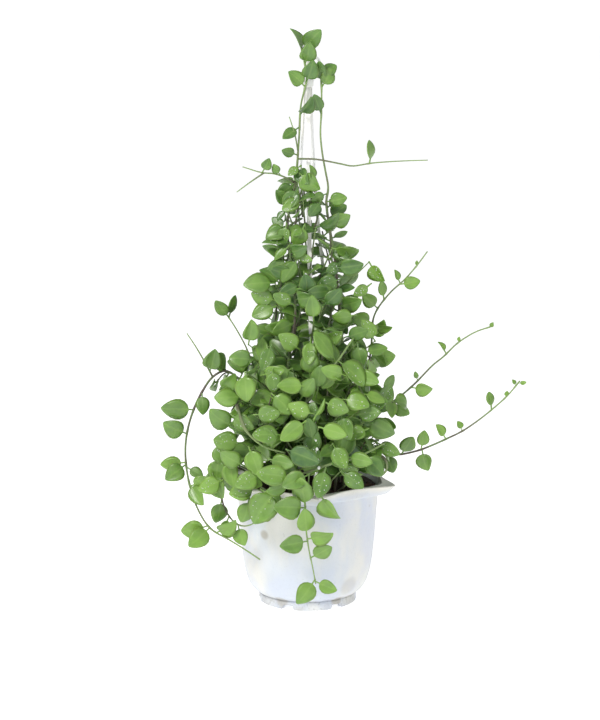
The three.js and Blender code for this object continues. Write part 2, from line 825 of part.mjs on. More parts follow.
// A vine's curves with the leaves on them, its branches after the main stem. A branch starts in its parent.
function growth({ from, place = fromAxis, route, radius, leaves = [], pairs, branches = [] }, parent) {
  const start = parent ? [stemPoint(parent, from)] : [];
  const points = [...start, ...route.map(place)];
  const curve = new THREE.CatmullRomCurve3(points, false, "centripetal");
  const own = leaves.map((leaf) => handLeaf(curve, leaf));
  if (pairs) own.push(...leafPairs(curve, pairs));
  const stem = { points, radius, curve, leaves: own, byHand: !pairs };
  return [stem, ...branches.flatMap((branch) => growth({ place, ...branch }, curve))];
}

// Leaves grown by rule stay away from one another, from the soil and from the rim.
function thinOut(stems, taken) {
  for (const stem of stems) {
    stem.leaves = stem.leaves.filter((leaf) => {
      const centre = leafCentre(leaf);
      const free = taken.every((other) => other.distanceTo(centre) > LEAF_ROOM);
      const isLow = centre.z < POT_HEIGHT + 6 && Math.hypot(centre.x, centre.y) < RIM_CORNER + 6;
      const keep = stem.byHand || (free && !isLow);
      if (keep) taken.push(centre);
      return keep;
    });
  }
}

// A stem, or with grow the room it takes up, which then also starts that much further back.
function stemSolid({ points, radius, curve }, grow) {
  const start = points[0].clone().addScaledVector(curve.getTangentAt(0), -grow);
  return toSolid(tube([start, ...points.slice(1)], radius + grow, stretches(curve), STEM_SIDES));
}

function leafSolid(leaf, grow) {
  return toSolid(leafGeometry(leaf.length, grow).applyMatrix4(leafMatrix(leaf)));
}

// The leaf swung round its stem by an angle.
function swung(leaf, degrees) {
  const turn = (arrow) => arrow.clone().applyAxisAngle(leaf.tangent, radians(degrees));
  return { ...leaf, direction: turn(leaf.direction), face: turn(leaf.face) };
}

const withBox = (solid) => ({ solid, box: solid.boundingBox() });

function meets(a, b) {
  const isApart = [0, 1, 2].some((k) => a.box.min[k] > b.box.max[k] || b.box.min[k] > a.box.max[k]);
  return !isApart && !a.solid.intersect(b.solid).isEmpty();
}

// The solid of a leaf in the first of its swings that meets nothing, or null where none is free.
function freeLeaf(leaf, obstacles) {
  for (const degrees of SWINGS) {
    const tried = swung(leaf, degrees);
    const room = withBox(leafSolid(tried, CLEARANCE));
    if (!obstacles.some((other) => meets(room, other))) return { solid: leafSolid(tried, 0), room };
  }
  return null;
}

function plantSolids(fixed) {
  const vines = Object.entries({ ...handVines, ...woundVines(), ...bushVines() });
  const taken = [];
  const grown = vines.map(([name, vine]) => {
    const stems = growth(vine);
    thinOut(stems, taken);
    const core = join(stems.map((stem) => stemSolid(stem, 0)));
    const reach = withBox(join(stems.map((stem) => stemSolid(stem, CLEARANCE))));
    return { name, core, reach, leaves: stems.flatMap((stem) => stem.leaves) };
  });
  const earlier = [...fixed];
  const solids = grown.map(({ name, core, leaves }, i) => {
    const stems = grown.filter((_, k) => k !== i).map((vine) => vine.reach);
    const found = leaves.map((leaf) => freeLeaf(leaf, [...stems, ...earlier])).filter(Boolean);
    earlier.push(...found.map((leaf) => leaf.room));
    return { name, solid: join([core, ...found.map((leaf) => leaf.solid)]) };
  });
  return { solids, roots: grown.map((vine) => vine.reach.solid) };
}

// ---------- Assembly ----------

const whitePlastic = { color: 0xe4e8ea, roughness: 0.42, metalness: 0 };
const soilLook = { color: 0x3a2418, roughness: 0.95, metalness: 0 };
const strapLook = { color: 0xf3f5f6, roughness: 0.35, metalness: 0 };
const leafLook = { color: 0x6f9f45, roughness: 0.38, metalness: 0 };

const plant = new THREE.Group();

function place(name, geometry, look) {
  const mesh = new THREE.Mesh(geometry, new THREE.MeshStandardMaterial(look));
  mesh.name = name;
  plant.add(mesh);
}

place("pot_shell", toGeometry(potShell()), whitePlastic);
const strapNames = ["front", "right", "left"];
const hangerRoom = [hookSolid(CLEARANCE)];
for (let i = 0; i < STRAP_COUNT; i += 1) {
  const azimuth = CORNER_AZIMUTH + i * (360 / STRAP_COUNT);
  hangerRoom.push(toSolid(clipGeometry(azimuth, CLEARANCE)), toSolid(strapGeometry(azimuth, CLEARANCE)));
  place(`rim_clip_${strapNames[i]}`, clipGeometry(azimuth, 0), strapLook);
  place(`strap_${strapNames[i]}`, strapGeometry(azimuth, 0), strapLook);
}
place("hanger_hook", toGeometry(hookSolid(0)), strapLook);

const fixed = [potOutline().subtract(potMouth()), ...hangerRoom].map(withBox);
const { solids, roots } = plantSolids(fixed);
place("soil", toGeometry(soilMass(roots)), soilLook);
for (const { name, solid } of solids) place(name, toGeometry(solid), leafLook);

// The origin lies on the floor below the middle of the object's bounding box.
const middle = new THREE.Box3().setFromObject(plant).getCenter(new THREE.Vector3());
plant.position.set(-middle.x, -middle.y, 0);

export default plant;
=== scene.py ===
import itertools
import math

import bpy
import numpy as np
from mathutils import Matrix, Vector


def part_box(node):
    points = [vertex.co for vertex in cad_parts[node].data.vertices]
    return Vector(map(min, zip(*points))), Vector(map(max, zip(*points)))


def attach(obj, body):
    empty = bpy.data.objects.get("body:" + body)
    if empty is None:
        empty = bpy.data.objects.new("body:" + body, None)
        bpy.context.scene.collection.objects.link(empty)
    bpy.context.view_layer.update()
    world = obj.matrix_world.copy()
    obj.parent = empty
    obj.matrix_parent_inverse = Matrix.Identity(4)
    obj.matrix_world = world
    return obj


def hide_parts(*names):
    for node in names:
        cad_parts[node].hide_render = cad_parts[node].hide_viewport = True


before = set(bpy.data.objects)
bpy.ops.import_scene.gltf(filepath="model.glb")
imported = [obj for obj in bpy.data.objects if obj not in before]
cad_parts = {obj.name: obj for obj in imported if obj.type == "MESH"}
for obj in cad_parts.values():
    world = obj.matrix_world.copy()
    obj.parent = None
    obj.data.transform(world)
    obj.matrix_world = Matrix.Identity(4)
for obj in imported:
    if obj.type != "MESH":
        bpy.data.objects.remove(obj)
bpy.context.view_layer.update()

bl_info = {
    "name": "Potted trailing vine",
    "version": (1, 0, 0),
    "blender": (4, 5, 0),
    "location": "View3D > Sidebar > Potted Vine",
    "description": "Builds the looks of a potted trailing vine round its packed model",
    "category": "Object",
}

POT_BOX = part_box("pot_shell")
POT_AXIS = (POT_BOX[0] + POT_BOX[1]) / 2
MM = 0.001
FRONT = np.array([0.0, -1.0, 0.0])
UP = np.array([0.0, 0.0, 1.0])

# Sizes below are in millimetres, from the pot's axis and the floor, as the solids have them.
POT_HEIGHT = POT_BOX[1].z / MM
RIM_FLAT, RIM_CORNER, RIM_DROP = 87.0, 98.0, 11.0
BAND_RADIUS, NECK_RADIUS = 82.0, 75.0
WALL, MOUTH_RADIUS = 2.2, 79.0
FOOT_RADIUS, FOOT_WALL, FOOT_COUNT = 52.0, 6.0, 6
NOTCH_DEGREES, NOTCH_HEIGHT = 14.0, 5.0
FLOOR_UNDERSIDE, FLOOR_THICKNESS = 6.0, 2.5
CORNER_AZIMUTH = 6.0
SOIL_BELOW_RIM, SOIL_MOUND, ROOT_DEPTH = 9.0, 4.0, 12.0
SOIL_TOP = POT_HEIGHT - SOIL_BELOW_RIM
ROOT_BELOW_RIM = SOIL_BELOW_RIM + ROOT_DEPTH
STRAP_COUNT, STRAP_WIDTH, STRAP_THICKNESS = 3, 4.6, 1.4
STRAP_FOOT_RADIUS, STRAP_TOP_RADIUS, STRAP_LENGTH_UP = 86.0, 4.2, 404.0
CLIP_SIZE = (9.0, 10.0, 5.0)
CLEARANCE = 0.3
CLIP_BASE = POT_HEIGHT + CLEARANCE
STRAP_BASE = CLIP_BASE + CLIP_SIZE[2] + CLEARANCE
STRAP_TOP = STRAP_BASE + STRAP_LENGTH_UP
HUB_BASE, HUB_RADIUS, HUB_HEIGHT = STRAP_TOP + CLEARANCE, 6.0, 8.0
HOOK_BEND, HOOK_WIRE = 6.0, 1.5
STALK_LENGTH = 5.0
STALK_RADIUS = 0.75
PAIR_STAGGER, LEAF_ROOM = 1.1, 7.5
TIP = 0.985  # share of a shoot at which its last leaf stands

# ---------- The vines: a route from the soil to the tip, and leaves listed one by one -------
# A point of a route is (x, y, height above the rim). On a vine whose place is "rim" or "climbers", it is
# (azimuth, distance beyond the rim's corners or beyond the wound vines, height above the rim). A leaf is
# (share along its stem, heading in the front view in degrees from +X, lean towards the front, blade length,
# roll of the blade about its own line).

HAND_VINES = {
    "vine_trailing_left": {
        "place": "rim",
        "radius": 1.4,
        "route": [
            (-71.6, -50.6, -ROOT_BELOW_RIM), (-74.9, -44.1, 37), (-77.4, -38.6, 82), (-79.8, -24.8, 107),
            (-80.8, -10.9, 116), (-80.8, 2.3, 110), (-79.7, 13.8, 95), (-78.5, 22.4, 79), (-77.3, 29.1, 61),
            (-75.9, 33, 43),
            (-74.2, 34, 25), (-71.1, 32, 1), (-65.5, 27.3, -23), (-57.6, 21.6, -40), (-45.4, 13, -50),
            (-36.2, 8.6, -58), (-28, 6.2, -66),
        ],
        "leaves": [
            (0.25, 200, 20, 24, 10), (0.3, 60, 30, 24, -20), (0.46, -85, 30, 20, 0), (0.51, 178, 5, 30, 10),
            (0.575, 155, 25, 24, 0), (0.65, 185, 0, 22, 20), (0.655, 212, 30, 23, 0), (0.662, -25, 20, 16, -30),
            (0.705, -50, 30, 25, 0), (0.712, 20, 20, 20, 0), (0.83, 195, 10, 25, 0), (0.837, 218, 35, 26, 10),
            (0.86, 30, 30, 24, 10),
        ],
        "branches": [
            {
                "from": 0.411, "radius": 1.0,
                "route": [(-81.9, 9.1, 123), (-84.1, 18.6, 140), (-85.5, 28.4, 155)],
                "leaves": [(0.12, 75, 35, 27, 0)],
            },
        ],
    },
    "vine_left_arc": {
        "place": "rim",
        "radius": 1.2,
        "route": [
            (-59, -39.7, -ROOT_BELOW_RIM), (-58, -22.5, 14), (-57.5, -3.1, 20), (-57.2, 9.1, 5), (-54.8, 9.6, -13),
            (-50.1, 4.9, -30), (-44.6, 0.3, -36), (-37, -1.6, -33), (-30, -2.1, -24),
        ],
        "leaves": [
            (0.3, 110, 30, 25, 0), (0.42, 200, 30, 24, 0), (0.5, 20, 40, 22, 0), (0.6, -100, 10, 22, 0),
            (0.72, -110, 5, 14, 0), (0.8, -75, 20, 19, 0), (0.97, 40, 30, 18, 0),
        ],
    },
    "vine_front_sprig": {
        "place": "rim",
        "radius": 1.1,
        "route": [
            (-8.1, -55.6, -ROOT_BELOW_RIM), (-8.8, -39.3, 13), (-5.7, -17.6, 25), (-2.9, 1.1, 15), (-1.6, 8, -3),
            (-1.1, 6, -29), (0.6, 4, -53), (2.9, 2.1, -73), (4.7, 0.3, -90),
        ],
        "leaves": [
            (0.28, 150, 35, 25, 0), (0.3, 30, 35, 25, 0), (0.56, 98, 25, 32, 0), (0.57, 172, 25, 30, 0),
            (0.72, 95, 20, 28, 20), (0.745, 20, 25, 26, 0), (0.755, 185, 25, 26, 0),
            (0.85, 35, 25, 25, 15), (0.975, 235, 20, 27, 0), (0.985, -20, 20, 20, 0),
        ],
    },
    "vine_left_sprig": {
        "radius": 1.2,
        "route": [
            (-40, 10, -ROOT_BELOW_RIM), (-47, 8, 47), (-53, 4, 102), (-63, 0, 135), (-74, -2, 157), (-84, -2, 173),
        ],
        "leaves": [
            (0.3, 160, 20, 24, 0), (0.42, 20, 30, 24, 0), (0.55, 190, 20, 25, 0), (0.63, 60, 30, 25, 0),
            (0.7, 165, 25, 24, 20), (0.77, 10, 30, 24, 0), (0.98, 125, 15, 21, 0), (0.985, 75, -10, 20, 60),
        ],
    },
    "vine_right_low": {
        "radius": 1.3,
        "route": [
            (48, -12, -ROOT_BELOW_RIM), (55, -12, 17), (72, -12, 30), (92, -12, 26), (115, -12, 30),
            (133, -12, 37), (146, -12, 43), (162, -12, 51), (178, -12, 62), (194, -12, 75),
            (210, -12, 90), (222, -12, 105),
        ],
        "leaves": [
            (0.12, 40, 30, 24, 0), (0.2, 150, 40, 24, 0), (0.3, -70, 20, 19, 30), (0.37, 60, 30, 22, 20),
            (0.46, 80, 10, 17, 10), (0.465, -80, 15, 20, 0), (0.58, 120, 10, 15, 30), (0.66, 110, 0, 9, 20),
            (0.82, 95, 0, 15, 50), (0.9, 70, 0, 6, 0), (0.97, 110, 0, 6, 30), (0.985, 10, 0, 7, 0),
        ],
    },
    "vine_right_high": {
        "radius": 1.3,
        "route": [
            (46, 4, -ROOT_BELOW_RIM), (56, 4, 27), (76, 4, 67), (101, 4, 88), (114, 4, 100), (132, 4, 119),
            (143, 4, 128), (156, 4, 141), (167, 4, 149), (178, 4, 155), (193, 4, 160),
        ],
        "leaves": [
            (0.14, 170, 30, 24, 0), (0.2, 20, 40, 24, 0), (0.28, 100, 30, 23, 0), (0.34, -10, 30, 23, 0),
            (0.4, 130, 20, 22, 0), (0.45, -35, 15, 19, 30), (0.56, -8, 10, 19, 0), (0.6, 105, 0, 8, 0),
            (0.77, 120, 0, 12, 50), (0.84, 80, 0, 5, 0), (0.985, 40, 0, 6, 0),
        ],
    },
    "vine_right_upper": {
        "radius": 1.3,
        "route": [
            (36, 22, -ROOT_BELOW_RIM), (48, 22, 37), (60, 18, 87), (67, 12, 136), (70, 8, 171), (86, 6, 195),
            (101, 6, 209), (114, 6, 224), (125, 6, 239),
        ],
        "leaves": [
            (0.3, 150, 20, 24, 0), (0.36, 20, 20, 24, 0), (0.42, -30, 30, 24, 0), (0.48, 160, 40, 23, 0),
            (0.52, 10, 20, 24, 0), (0.56, -50, 20, 20, 0), (0.6, 60, 20, 22, 0), (0.64, 10, 25, 19, 20),
            (0.66, 160, 25, 21, 0), (0.72, 135, 20, 19, 0), (0.76, 100, 10, 17, 40), (0.84, 10, 10, 18, 0),
            (0.845, 115, 0, 12, 30), (0.93, 80, 0, 5, 0),
        ],
    },
    "climber_left": {
        "place": "climbers",
        "radius": 1.5,
        "route": [
            (-21.3, 4.6, -ROOT_BELOW_RIM), (-26.6, 10.7, 27), (-29.7, 14.4, 77), (-25.5, 12.5, 129),
            (-18.9, 6.2, 179),
            (-25.8, 4.9, 217), (-38.7, 7.8, 252), (-53.1, 4, 279), (-49.8, -0.8, 312), (-39.3, -0.4, 357),
            (-32.5, 0.1, 392), (-5.2, -1.2, 419), (-24, -2.4, 437), (-48.8, -1.6, 455),
        ],
        "leaves": [
            (0.3, 150, 40, 25, 0), (0.305, 30, 45, 25, 0), (0.4, 200, 40, 25, 0), (0.45, 10, 50, 23, 0),
            (0.5, 160, 30, 24, 0), (0.55, 20, 50, 22, 0), (0.6, 195, 20, 21, 20), (0.605, -20, 50, 20, 0),
            (0.65, 130, 20, 20, 0), (0.7, 215, 20, 19, 0), (0.735, -60, 40, 20, 0), (0.76, 160, 30, 16, 0),
            (0.82, 215, 20, 18, 20), (0.845, 55, 40, 24, 30), (0.905, 135, 20, 20, 0), (0.915, 70, 30, 21, 0),
            (0.952, 75, 30, 22, 0), (0.978, 103, 10, 24, 70), (0.985, 45, 20, 25, 0),
        ],
        "branches": [
            {
                "from": 0.752, "radius": 1.0,
                "route": [
                    (22.8, 4.7, 337), (61.5, 23.6, 332), (68.2, 32.1, 330), (74.7, 52.2, 333),
                    (79.2, 79.7, 335), (81.7, 108.3, 336),
                ],
                "leaves": [(0.56, 80, 5, 20, 70)],
            },
            {
                "from": 0.701, "radius": 1.0,
                "route": [(-57.4, 12.5, 319), (-65.4, 21.5, 322), (-71.2, 32.7, 323), (-76.6, 52.4, 329)],
                "leaves": [(0.3, 130, 15, 11, 0), (0.64, 60, 20, 13, 0)],
                "branches": [{"from": 0.607, "radius": 0.9, "route": [(-74.6, 42.6, 314), (-77.6, 56.2, 303)]}],
            },
            {"from": 0.767, "radius": 0.9, "route": [(-42.9, 4.7, 361), (-53.6, 10.1, 380)]},
        ],
    },
    "climber_right": {
        "place": "climbers",
        "radius": 1.5,
        "route": [
            (40.9, 5.7, -ROOT_BELOW_RIM), (48.6, 11.3, 32), (55.6, 12, 87), (56.3, 9.3, 147), (58, 4.6, 197),
            (58.4, 5.6, 247), (53.6, 3.9, 291), (58.2, 6.5, 307), (56.3, 4.9, 325), (53.7, 3, 342), (52.4, 2, 362),
            (60.3, 3, 387), (66.8, 3, 412), (65.2, 2.1, 427),
        ],
        "leaves": [
            (0.25, 30, 40, 25, 0), (0.26, 190, 50, 25, 0), (0.36, 0, 40, 25, 0), (0.37, 160, 50, 24, 0),
            (0.46, 20, 40, 25, 0), (0.52, 150, 45, 22, 0), (0.58, 10, 20, 23, 20), (0.6, -40, 40, 20, 0),
            (0.65, 20, 30, 21, 20), (0.7, 15, 20, 18, 0), (0.72, 200, 30, 16, 0), (0.9, 110, 20, 19, 0),
            (0.96, 60, 10, 19, 20), (0.97, 95, 20, 20, 0), (0.985, 40, 0, 16, 0),
        ],
    },
}

# Single leaves of short side shoots over the front of the foliage: (x, y, height above the rim, heading,
# lean, length, roll).
FRONT_LEAVES = [
    (-61, -60, 152, 80, 15, 23, 0), (-37, -65, 153, -110, 20, 25, 0), (-64, -85, 128, -88, 10, 27, 0),
    (-90, -70, 105, 45, 20, 21, 0), (-36, -85, 132, -85, 15, 21, 0), (-2, -92, 115, 178, 15, 26, 10),
    (-37, -95, 108, -40, 20, 25, 0), (-55, -100, 87, 5, 15, 23, 0), (6, -100, 88, 165, 15, 24, 0),
    (6, -108, 84, 65, 10, 20, 65), (16, -98, 100, -20, 20, 23, 0), (35, -86, 100, 0, 25, 25, -25),
    (11, -112, 77, -15, 15, 25, 0), (-2, -106, 82, 215, 15, 28, 0), (-26, -108, 68, 175, 20, 27, 30),
    (-22, -112, 54, -20, 10, 32, 0), (-60, -104, 55, -70, 10, 27, 0), (-17, -112, 25, 170, 10, 32, 10),
    (18, -112, 35, -105, 15, 27, 0), (-18, -108, 16, 190, 20, 21, 0), (-52, -100, 15, 195, 20, 23, 0),
    (-48, -104, 11, -30, 20, 21, 0), (-81, -86, 39, -80, 15, 25, 0), (-91, -76, 39, -100, 15, 23, 0),
    (-68, -82, 54, 170, 20, 25, 20), (-76, -72, 69, 150, 20, 27, 0), (-67, -76, 100, 175, 20, 25, 40),
    (59, -62, 88, 20, 20, 21, 0), (74, -50, 87, 60, 15, 21, 0), (61, -72, 76, -30, 15, 28, 0),
    (62, -86, 70, 200, 20, 20, 30), (71, -60, 50, -25, 20, 23, 20), (45, -82, 67, -110, 15, 24, 0),
    (28, -76, 137, 118, 10, 34, 66), (31, -78, 138, -38, 10, 33, -62), (50, -36, 179, 190, 20, 21, 0),
    (51, -50, 152, -80, 20, 21, 0), (70, -32, 151, 120, 15, 23, 0), (2, -72, 121, 90, 20, 24, 0),
    (-34, -30, 211, 178, 15, 29, 30), (-32, -32, 193, 165, 15, 24, 0), (-32, -34, 188, 200, 15, 24, 30),
    (39, -84, 124, 160, 20, 24, 0), (47, -70, 125, -20, 20, 24, 0), (25, -108, 59, -60, 20, 24, 0),
    (39, -104, 45, -10, 20, 24, 0), (57, -96, 44, -40, 20, 24, 0), (34, -108, 31, -35, 20, 24, 0),
    (-41, -106, 43, -10, 20, 24, 0), (-73, -92, 24, -20, 20, 25, 0), (-87, -88, 17, 200, 20, 23, 0),
    (-8, -62, 147, 140, 20, 24, 0), (-16, -76, 130, 200, 20, 23, 0), (15, -50, 150, 40, 20, 23, 0),
    (-48, -78, 123, 20, 20, 23, 0), (-55, -66, 137, 170, 20, 22, 0), (-18, -42, 164, 170, 20, 23, 0),
    (11, -44, 165, -30, 20, 23, 0), (38, -46, 157, 20, 20, 23, 0), (-8, -88, 100, 60, 20, 24, 0),
    (47, -84, 84, 10, 20, 24, 0), (33, -96, 87, -70, 20, 24, 0), (-35, -104, 52, 110, 20, 24, 0),
    (-34, -106, 9, 232, 15, 36, 0), (-53, -100, 11, 188, 20, 24, 0), (-60, -101, 1, -100, 10, 23, 0),
    (13, -108, 6, -62, 10, 28, 30), (-48, -104, 26, 200, 20, 25, 0), (1, -112, 28, 200, 20, 26, 0),
    (-65, -98, 34, 150, 20, 25, 0), (-96, -74, 53, -60, 20, 22, 0), (-79, -78, 83, -30, 20, 24, 0),
    (-98, -80, 22, -70, 20, 24, 0), (55, -94, 24, 160, 20, 22, 0),
    (-7, -18, 331, 215, 20, 13, 20), (-9, -19, 324, -45, 15, 24, 0), (5, -20, 313, 95, 10, 15, 40),
    (-10, -22, 309, 240, 10, 23, 0), (-22, -20, 288, 240, 15, 13, 30), (14, -22, 296, 235, 20, 17, 0),
    (-5, -24, 297, 205, 15, 20, 20), (8, -30, 268, 25, 10, 25, 40), (-3, -30, 272, 245, 10, 21, 0),
    (-22, -24, 272, 258, 15, 18, 20), (-19, -28, 253, 183, 5, 24, 60), (-19, -30, 250, 225, 10, 17, 40),
    (-19, -32, 234, 200, 10, 20, 30), (-14, -34, 241, -15, 20, 16, 20), (25, -28, 247, -12, 10, 24, 40),
    (29, -32, 227, 8, 15, 25, 0), (35, -28, 234, 222, 20, 18, 0), (-10, -34, 237, 235, 10, 25, 0),
    (-7, -38, 211, 205, 15, 21, 20), (-4, -36, 224, -88, 10, 20, 50), (34, -34, 216, 198, 15, 22, 0),
    (26, -38, 204, 182, 15, 24, 0), (66, -20, 209, 212, 15, 18, 0), (64, -14, 231, -60, 15, 22, 30),
    (12, -36, 213, -60, 20, 22, 0), (2, -40, 196, 100, 15, 23, 0), (-14, -42, 190, 150, 20, 22, 0),
    (16, -44, 190, 40, 20, 22, 20), (6, -58, 176, 95, 15, 24, 0), (3, -70, 160, -95, 15, 23, 0),
    (2, -92, 72, 88, 15, 23, 0), (5, -94, 58, 100, 15, 23, 20), (1, -92, 44, 75, 15, 23, 0),
    (9, -90, 30, 95, 20, 22, 0), (10, -80, 108, 85, 15, 23, 0), (9, -66, 140, 80, 15, 22, 0),
]

# Places where leaves are darker or fresher than their neighbours: place, reach, shift of tone. The broad spot low
# on the right, at (52, -80, 40), is painted shade.
TONE_SPOTS = [
    ((-22, -112, 54), 9, -0.9), ((9, -110, 80), 9, 0.45), ((52, -80, 40), 42, -0.35), ((-55, -103, 30), 26, 0.18),
    ((6, -92, 52), 24, -0.3), ((15, -40, 200), 30, -0.2), ((-88, -74, 60), 26, -0.25), ((-15, -106, 62), 14, 0.25),
    ((29, -77, 137), 10, -0.15), ((0, -10, 250), 45, -0.12),
]

DROPS_PER_LEAF = 9
# A few heavy drops hanging in front of the foliage: place and radius.
HANGING_DROPS = [
    ((8, -113, 63), 0.9), ((9, -113, 54), 1.5), ((10, -113, 43), 1.2), ((11, -113, 35), 1.6), ((8, -113, 29), 1.1),
]

# Bare young stems that arch over the front of the foliage.
ARCHING_STEMS = [
    [(-8, -70, 89), (3, -74, 99), (10, -76, 115), (30, -76, 137), (38, -66, 147), (47, -52, 157)],
    [(-73, -70, 95), (-70, -90, 88), (-60, -102, 68), (-45, -106, 56), (-23, -104, 48)],
    [(-71, -72, 91), (-65, -98, 73), (-52, -104, 62), (-34, -104, 58)],
    [(-29, -96, 27), (-18, -106, 25), (24, -104, 37), (45, -98, 41), (66, -84, 47), (80, -66, 51)],
    [(72, -60, 38), (80, -64, 32), (81, -62, 21), (74, -56, 13), (68, -50, 15)],
]

# Dark marks on the pot: place from the axis and the floor, reach, and how strong. The first, on the left of the
# body, is a painted shadow of a leaf; the others are dirt.
POT_STAINS_AND_SHADOW = [
    ((-43, -54, 84), 7.5, 0.75), ((36, -60, 116), 5.0, 0.5), ((62, -35, 110), 4.0, 0.6),
    ((-27, -45, 10), 9.0, 0.6), ((31, -43, 9), 8.0, 0.75), ((45, -50, 25), 14.0, 0.3),
    ((-52, -42, 106), 9.0, 0.35),
]

CLIMBER_RADIUS, CLIMBER_GAP = 34.0, 8.0
CLIMBER_TWIST = 0.42
CLIMBER_TOPS = [297, 259, 319, 277, 307, 239]
BUSH_AZIMUTHS = [21, 51, 141, 171, 201, 231, 321]
BETWEEN_AZIMUTHS = [36, 66, 156, 186, 216, 276, 306, 336]
# Arcs of the bushy shoots: distance beyond the climbers' radius, and height above the roots.
HIGH_ARC = [(13, 0), (16, 55), (20, 104), (28, 140), (40, 152), (52, 142)]
MIDDLE_ARC = [(13, 0), (18, 50), (26, 92), (38, 116), (52, 122), (63, 112)]
LOW_ARC = [(26, 0), (30, 34), (39, 60), (52, 68), (64, 56)]


def around(radius, azimuth, z):
    """Points at a distance from the pot's axis, at an angle in degrees from the front towards +X."""
    angle = np.radians(azimuth)
    return np.stack(np.broadcast_arrays(radius * np.sin(angle), -radius * np.cos(angle), z), axis=-1)


def strap_radius(z):
    """Distance of a strap from the axis: a straight lean and a steeper bow, both ending at the hub."""
    share = np.clip((z - STRAP_BASE) / STRAP_LENGTH_UP, 0, 1)
    reach = STRAP_FOOT_RADIUS - STRAP_TOP_RADIUS
    return STRAP_TOP_RADIUS + reach * (0.8 * (1 - share) ** 2.6 + 0.2 * (1 - share))


def wound_radius(height):
    """Distance from the axis of the vines that wind round the straps, at a height above the rim."""
    return np.minimum(CLIMBER_RADIUS, strap_radius(POT_HEIGHT + height) + CLIMBER_GAP)


def wound_vines():
    """Six vines wound up round the straps, evenly spaced, at an angle that grows with height."""
    z = np.linspace(STRAP_BASE, STRAP_TOP, 2000)
    crossing = z[np.argmin(np.abs(strap_radius(z) - CLIMBER_RADIUS))] - POT_HEIGHT
    vines = {}
    for i, top in enumerate(CLIMBER_TOPS):
        height = np.linspace(-ROOT_BELOW_RIM, top, round((top + ROOT_BELOW_RIM) / 32) + 1)
        azimuth = CORNER_AZIMUTH + 30 + 60 * i + CLIMBER_TWIST * (height - crossing)
        route = around(wound_radius(height), azimuth, height)
        pairs = {"first": 52, "turn": 77, "phase": 40 * i, "scale": 0.88, "spacing": 11.5}
        vines[f"climber_wound_{i + 1}"] = {"radius": 1.3, "route": route, "pairs": pairs}
    return vines


def bush_vines():
    """Bushy shoots in upright planes round the pot: a high and a low one in some, one between in others."""
    vines = {}

    def shoot(name, arc, azimuth, lift, first, phase):
        beyond, z = np.array(arc, float).T
        route = around(CLIMBER_RADIUS + beyond, azimuth, z * lift - ROOT_BELOW_RIM)
        pairs = {"first": first, "turn": 38, "phase": phase, "scale": 1.0, "spacing": 15}
        vines[name] = {"radius": 1.3, "route": route, "pairs": pairs}

    for i, azimuth in enumerate(BUSH_AZIMUTHS):
        lift = 1 + 0.08 * math.sin(2.1 * i)
        shoot(f"bush_high_{i + 1}", HIGH_ARC, azimuth, lift, 50, 15 + 26 * i)
        shoot(f"bush_low_{i + 1}", LOW_ARC, azimuth, lift, 34, 70 - 30 * i)
    for i, azimuth in enumerate(BETWEEN_AZIMUTHS):
        lift = 1 + 0.1 * math.sin(2.6 * i + 1)
        shoot(f"bush_middle_{i + 1}", MIDDLE_ARC, azimuth, lift, 40, 40 + 34 * i)
    return vines


# ---------- Curves ----------


class Route:
    """A centripetal Catmull-Rom curve through points: each stretch is a cubic whose end slopes come from
    the points next to it, with knots spaced by the square root of the distance between points."""

    def __init__(self, points):
        p = np.asarray(points, float)
        p = np.vstack([2 * p[0] - p[1], p, 2 * p[-1] - p[-2]])
        gap = np.sqrt(np.linalg.norm(np.diff(p, axis=0), axis=1))[:, None]
        p0, p1, p2, p3 = p[:-3], p[1:-2], p[2:-1], p[3:]
        g0, g1, g2 = gap[:-2], gap[1:-1], gap[2:]
        slope1 = ((p1 - p0) / g0 - (p2 - p0) / (g0 + g1) + (p2 - p1) / g1) * g1
        slope2 = ((p2 - p1) / g1 - (p3 - p1) / (g1 + g2) + (p3 - p2) / g2) * g1
        t = np.linspace(0, 1, 24, endpoint=False)[None, :, None]
        a, b, c, d = p1[:, None], p2[:, None], slope1[:, None], slope2[:, None]
        cubic = a + c * t + (3 * b - 3 * a - 2 * c - d) * t**2 + (2 * a - 2 * b + c + d) * t**3
        self.line = np.vstack([cubic.reshape(-1, 3), p2[-1]])
        steps = np.linalg.norm(np.diff(self.line, axis=0), axis=1)
        self.run = np.concatenate([[0], np.cumsum(steps)])
        self.length = self.run[-1]

    def at(self, share):
        """Points at shares of the curve's length."""
        s = np.clip(share, 0, 1) * self.length
        return np.stack([np.interp(s, self.run, self.line[:, k]) for k in range(3)], axis=-1)

    def tangent(self, share):
        """Directions of the curve, from points a little either side."""
        share = np.asarray(share, float)
        return unit(self.at(share + 0.004) - self.at(share - 0.004))


def unit(v):
    """Vectors divided by their own lengths."""
    return v / np.maximum(np.linalg.norm(v, axis=-1, keepdims=True), 1e-9)


# ---------- Leaves: where they stand ----------


def hand_leaves(route, table):
    """Bases, directions, faces and lengths of leaves listed one by one."""
    share, heading, lean, length, roll = np.array(table, float).reshape(-1, 5).T
    h, tilt, r = np.radians(heading), np.radians(lean), np.radians(roll)[:, None]
    way = np.stack([np.cos(h) * np.cos(tilt), -np.sin(tilt), np.sin(h) * np.cos(tilt)], axis=-1)
    facing = np.where(np.abs(way @ FRONT)[:, None] > 0.85, UP, FRONT)
    flat = unit(facing - np.sum(facing * way, axis=1, keepdims=True) * way)
    face = flat * np.cos(r) + np.cross(way, flat) * np.sin(r)
    return {"base": route.at(share), "way": way, "face": face, "length": length, "share": share}


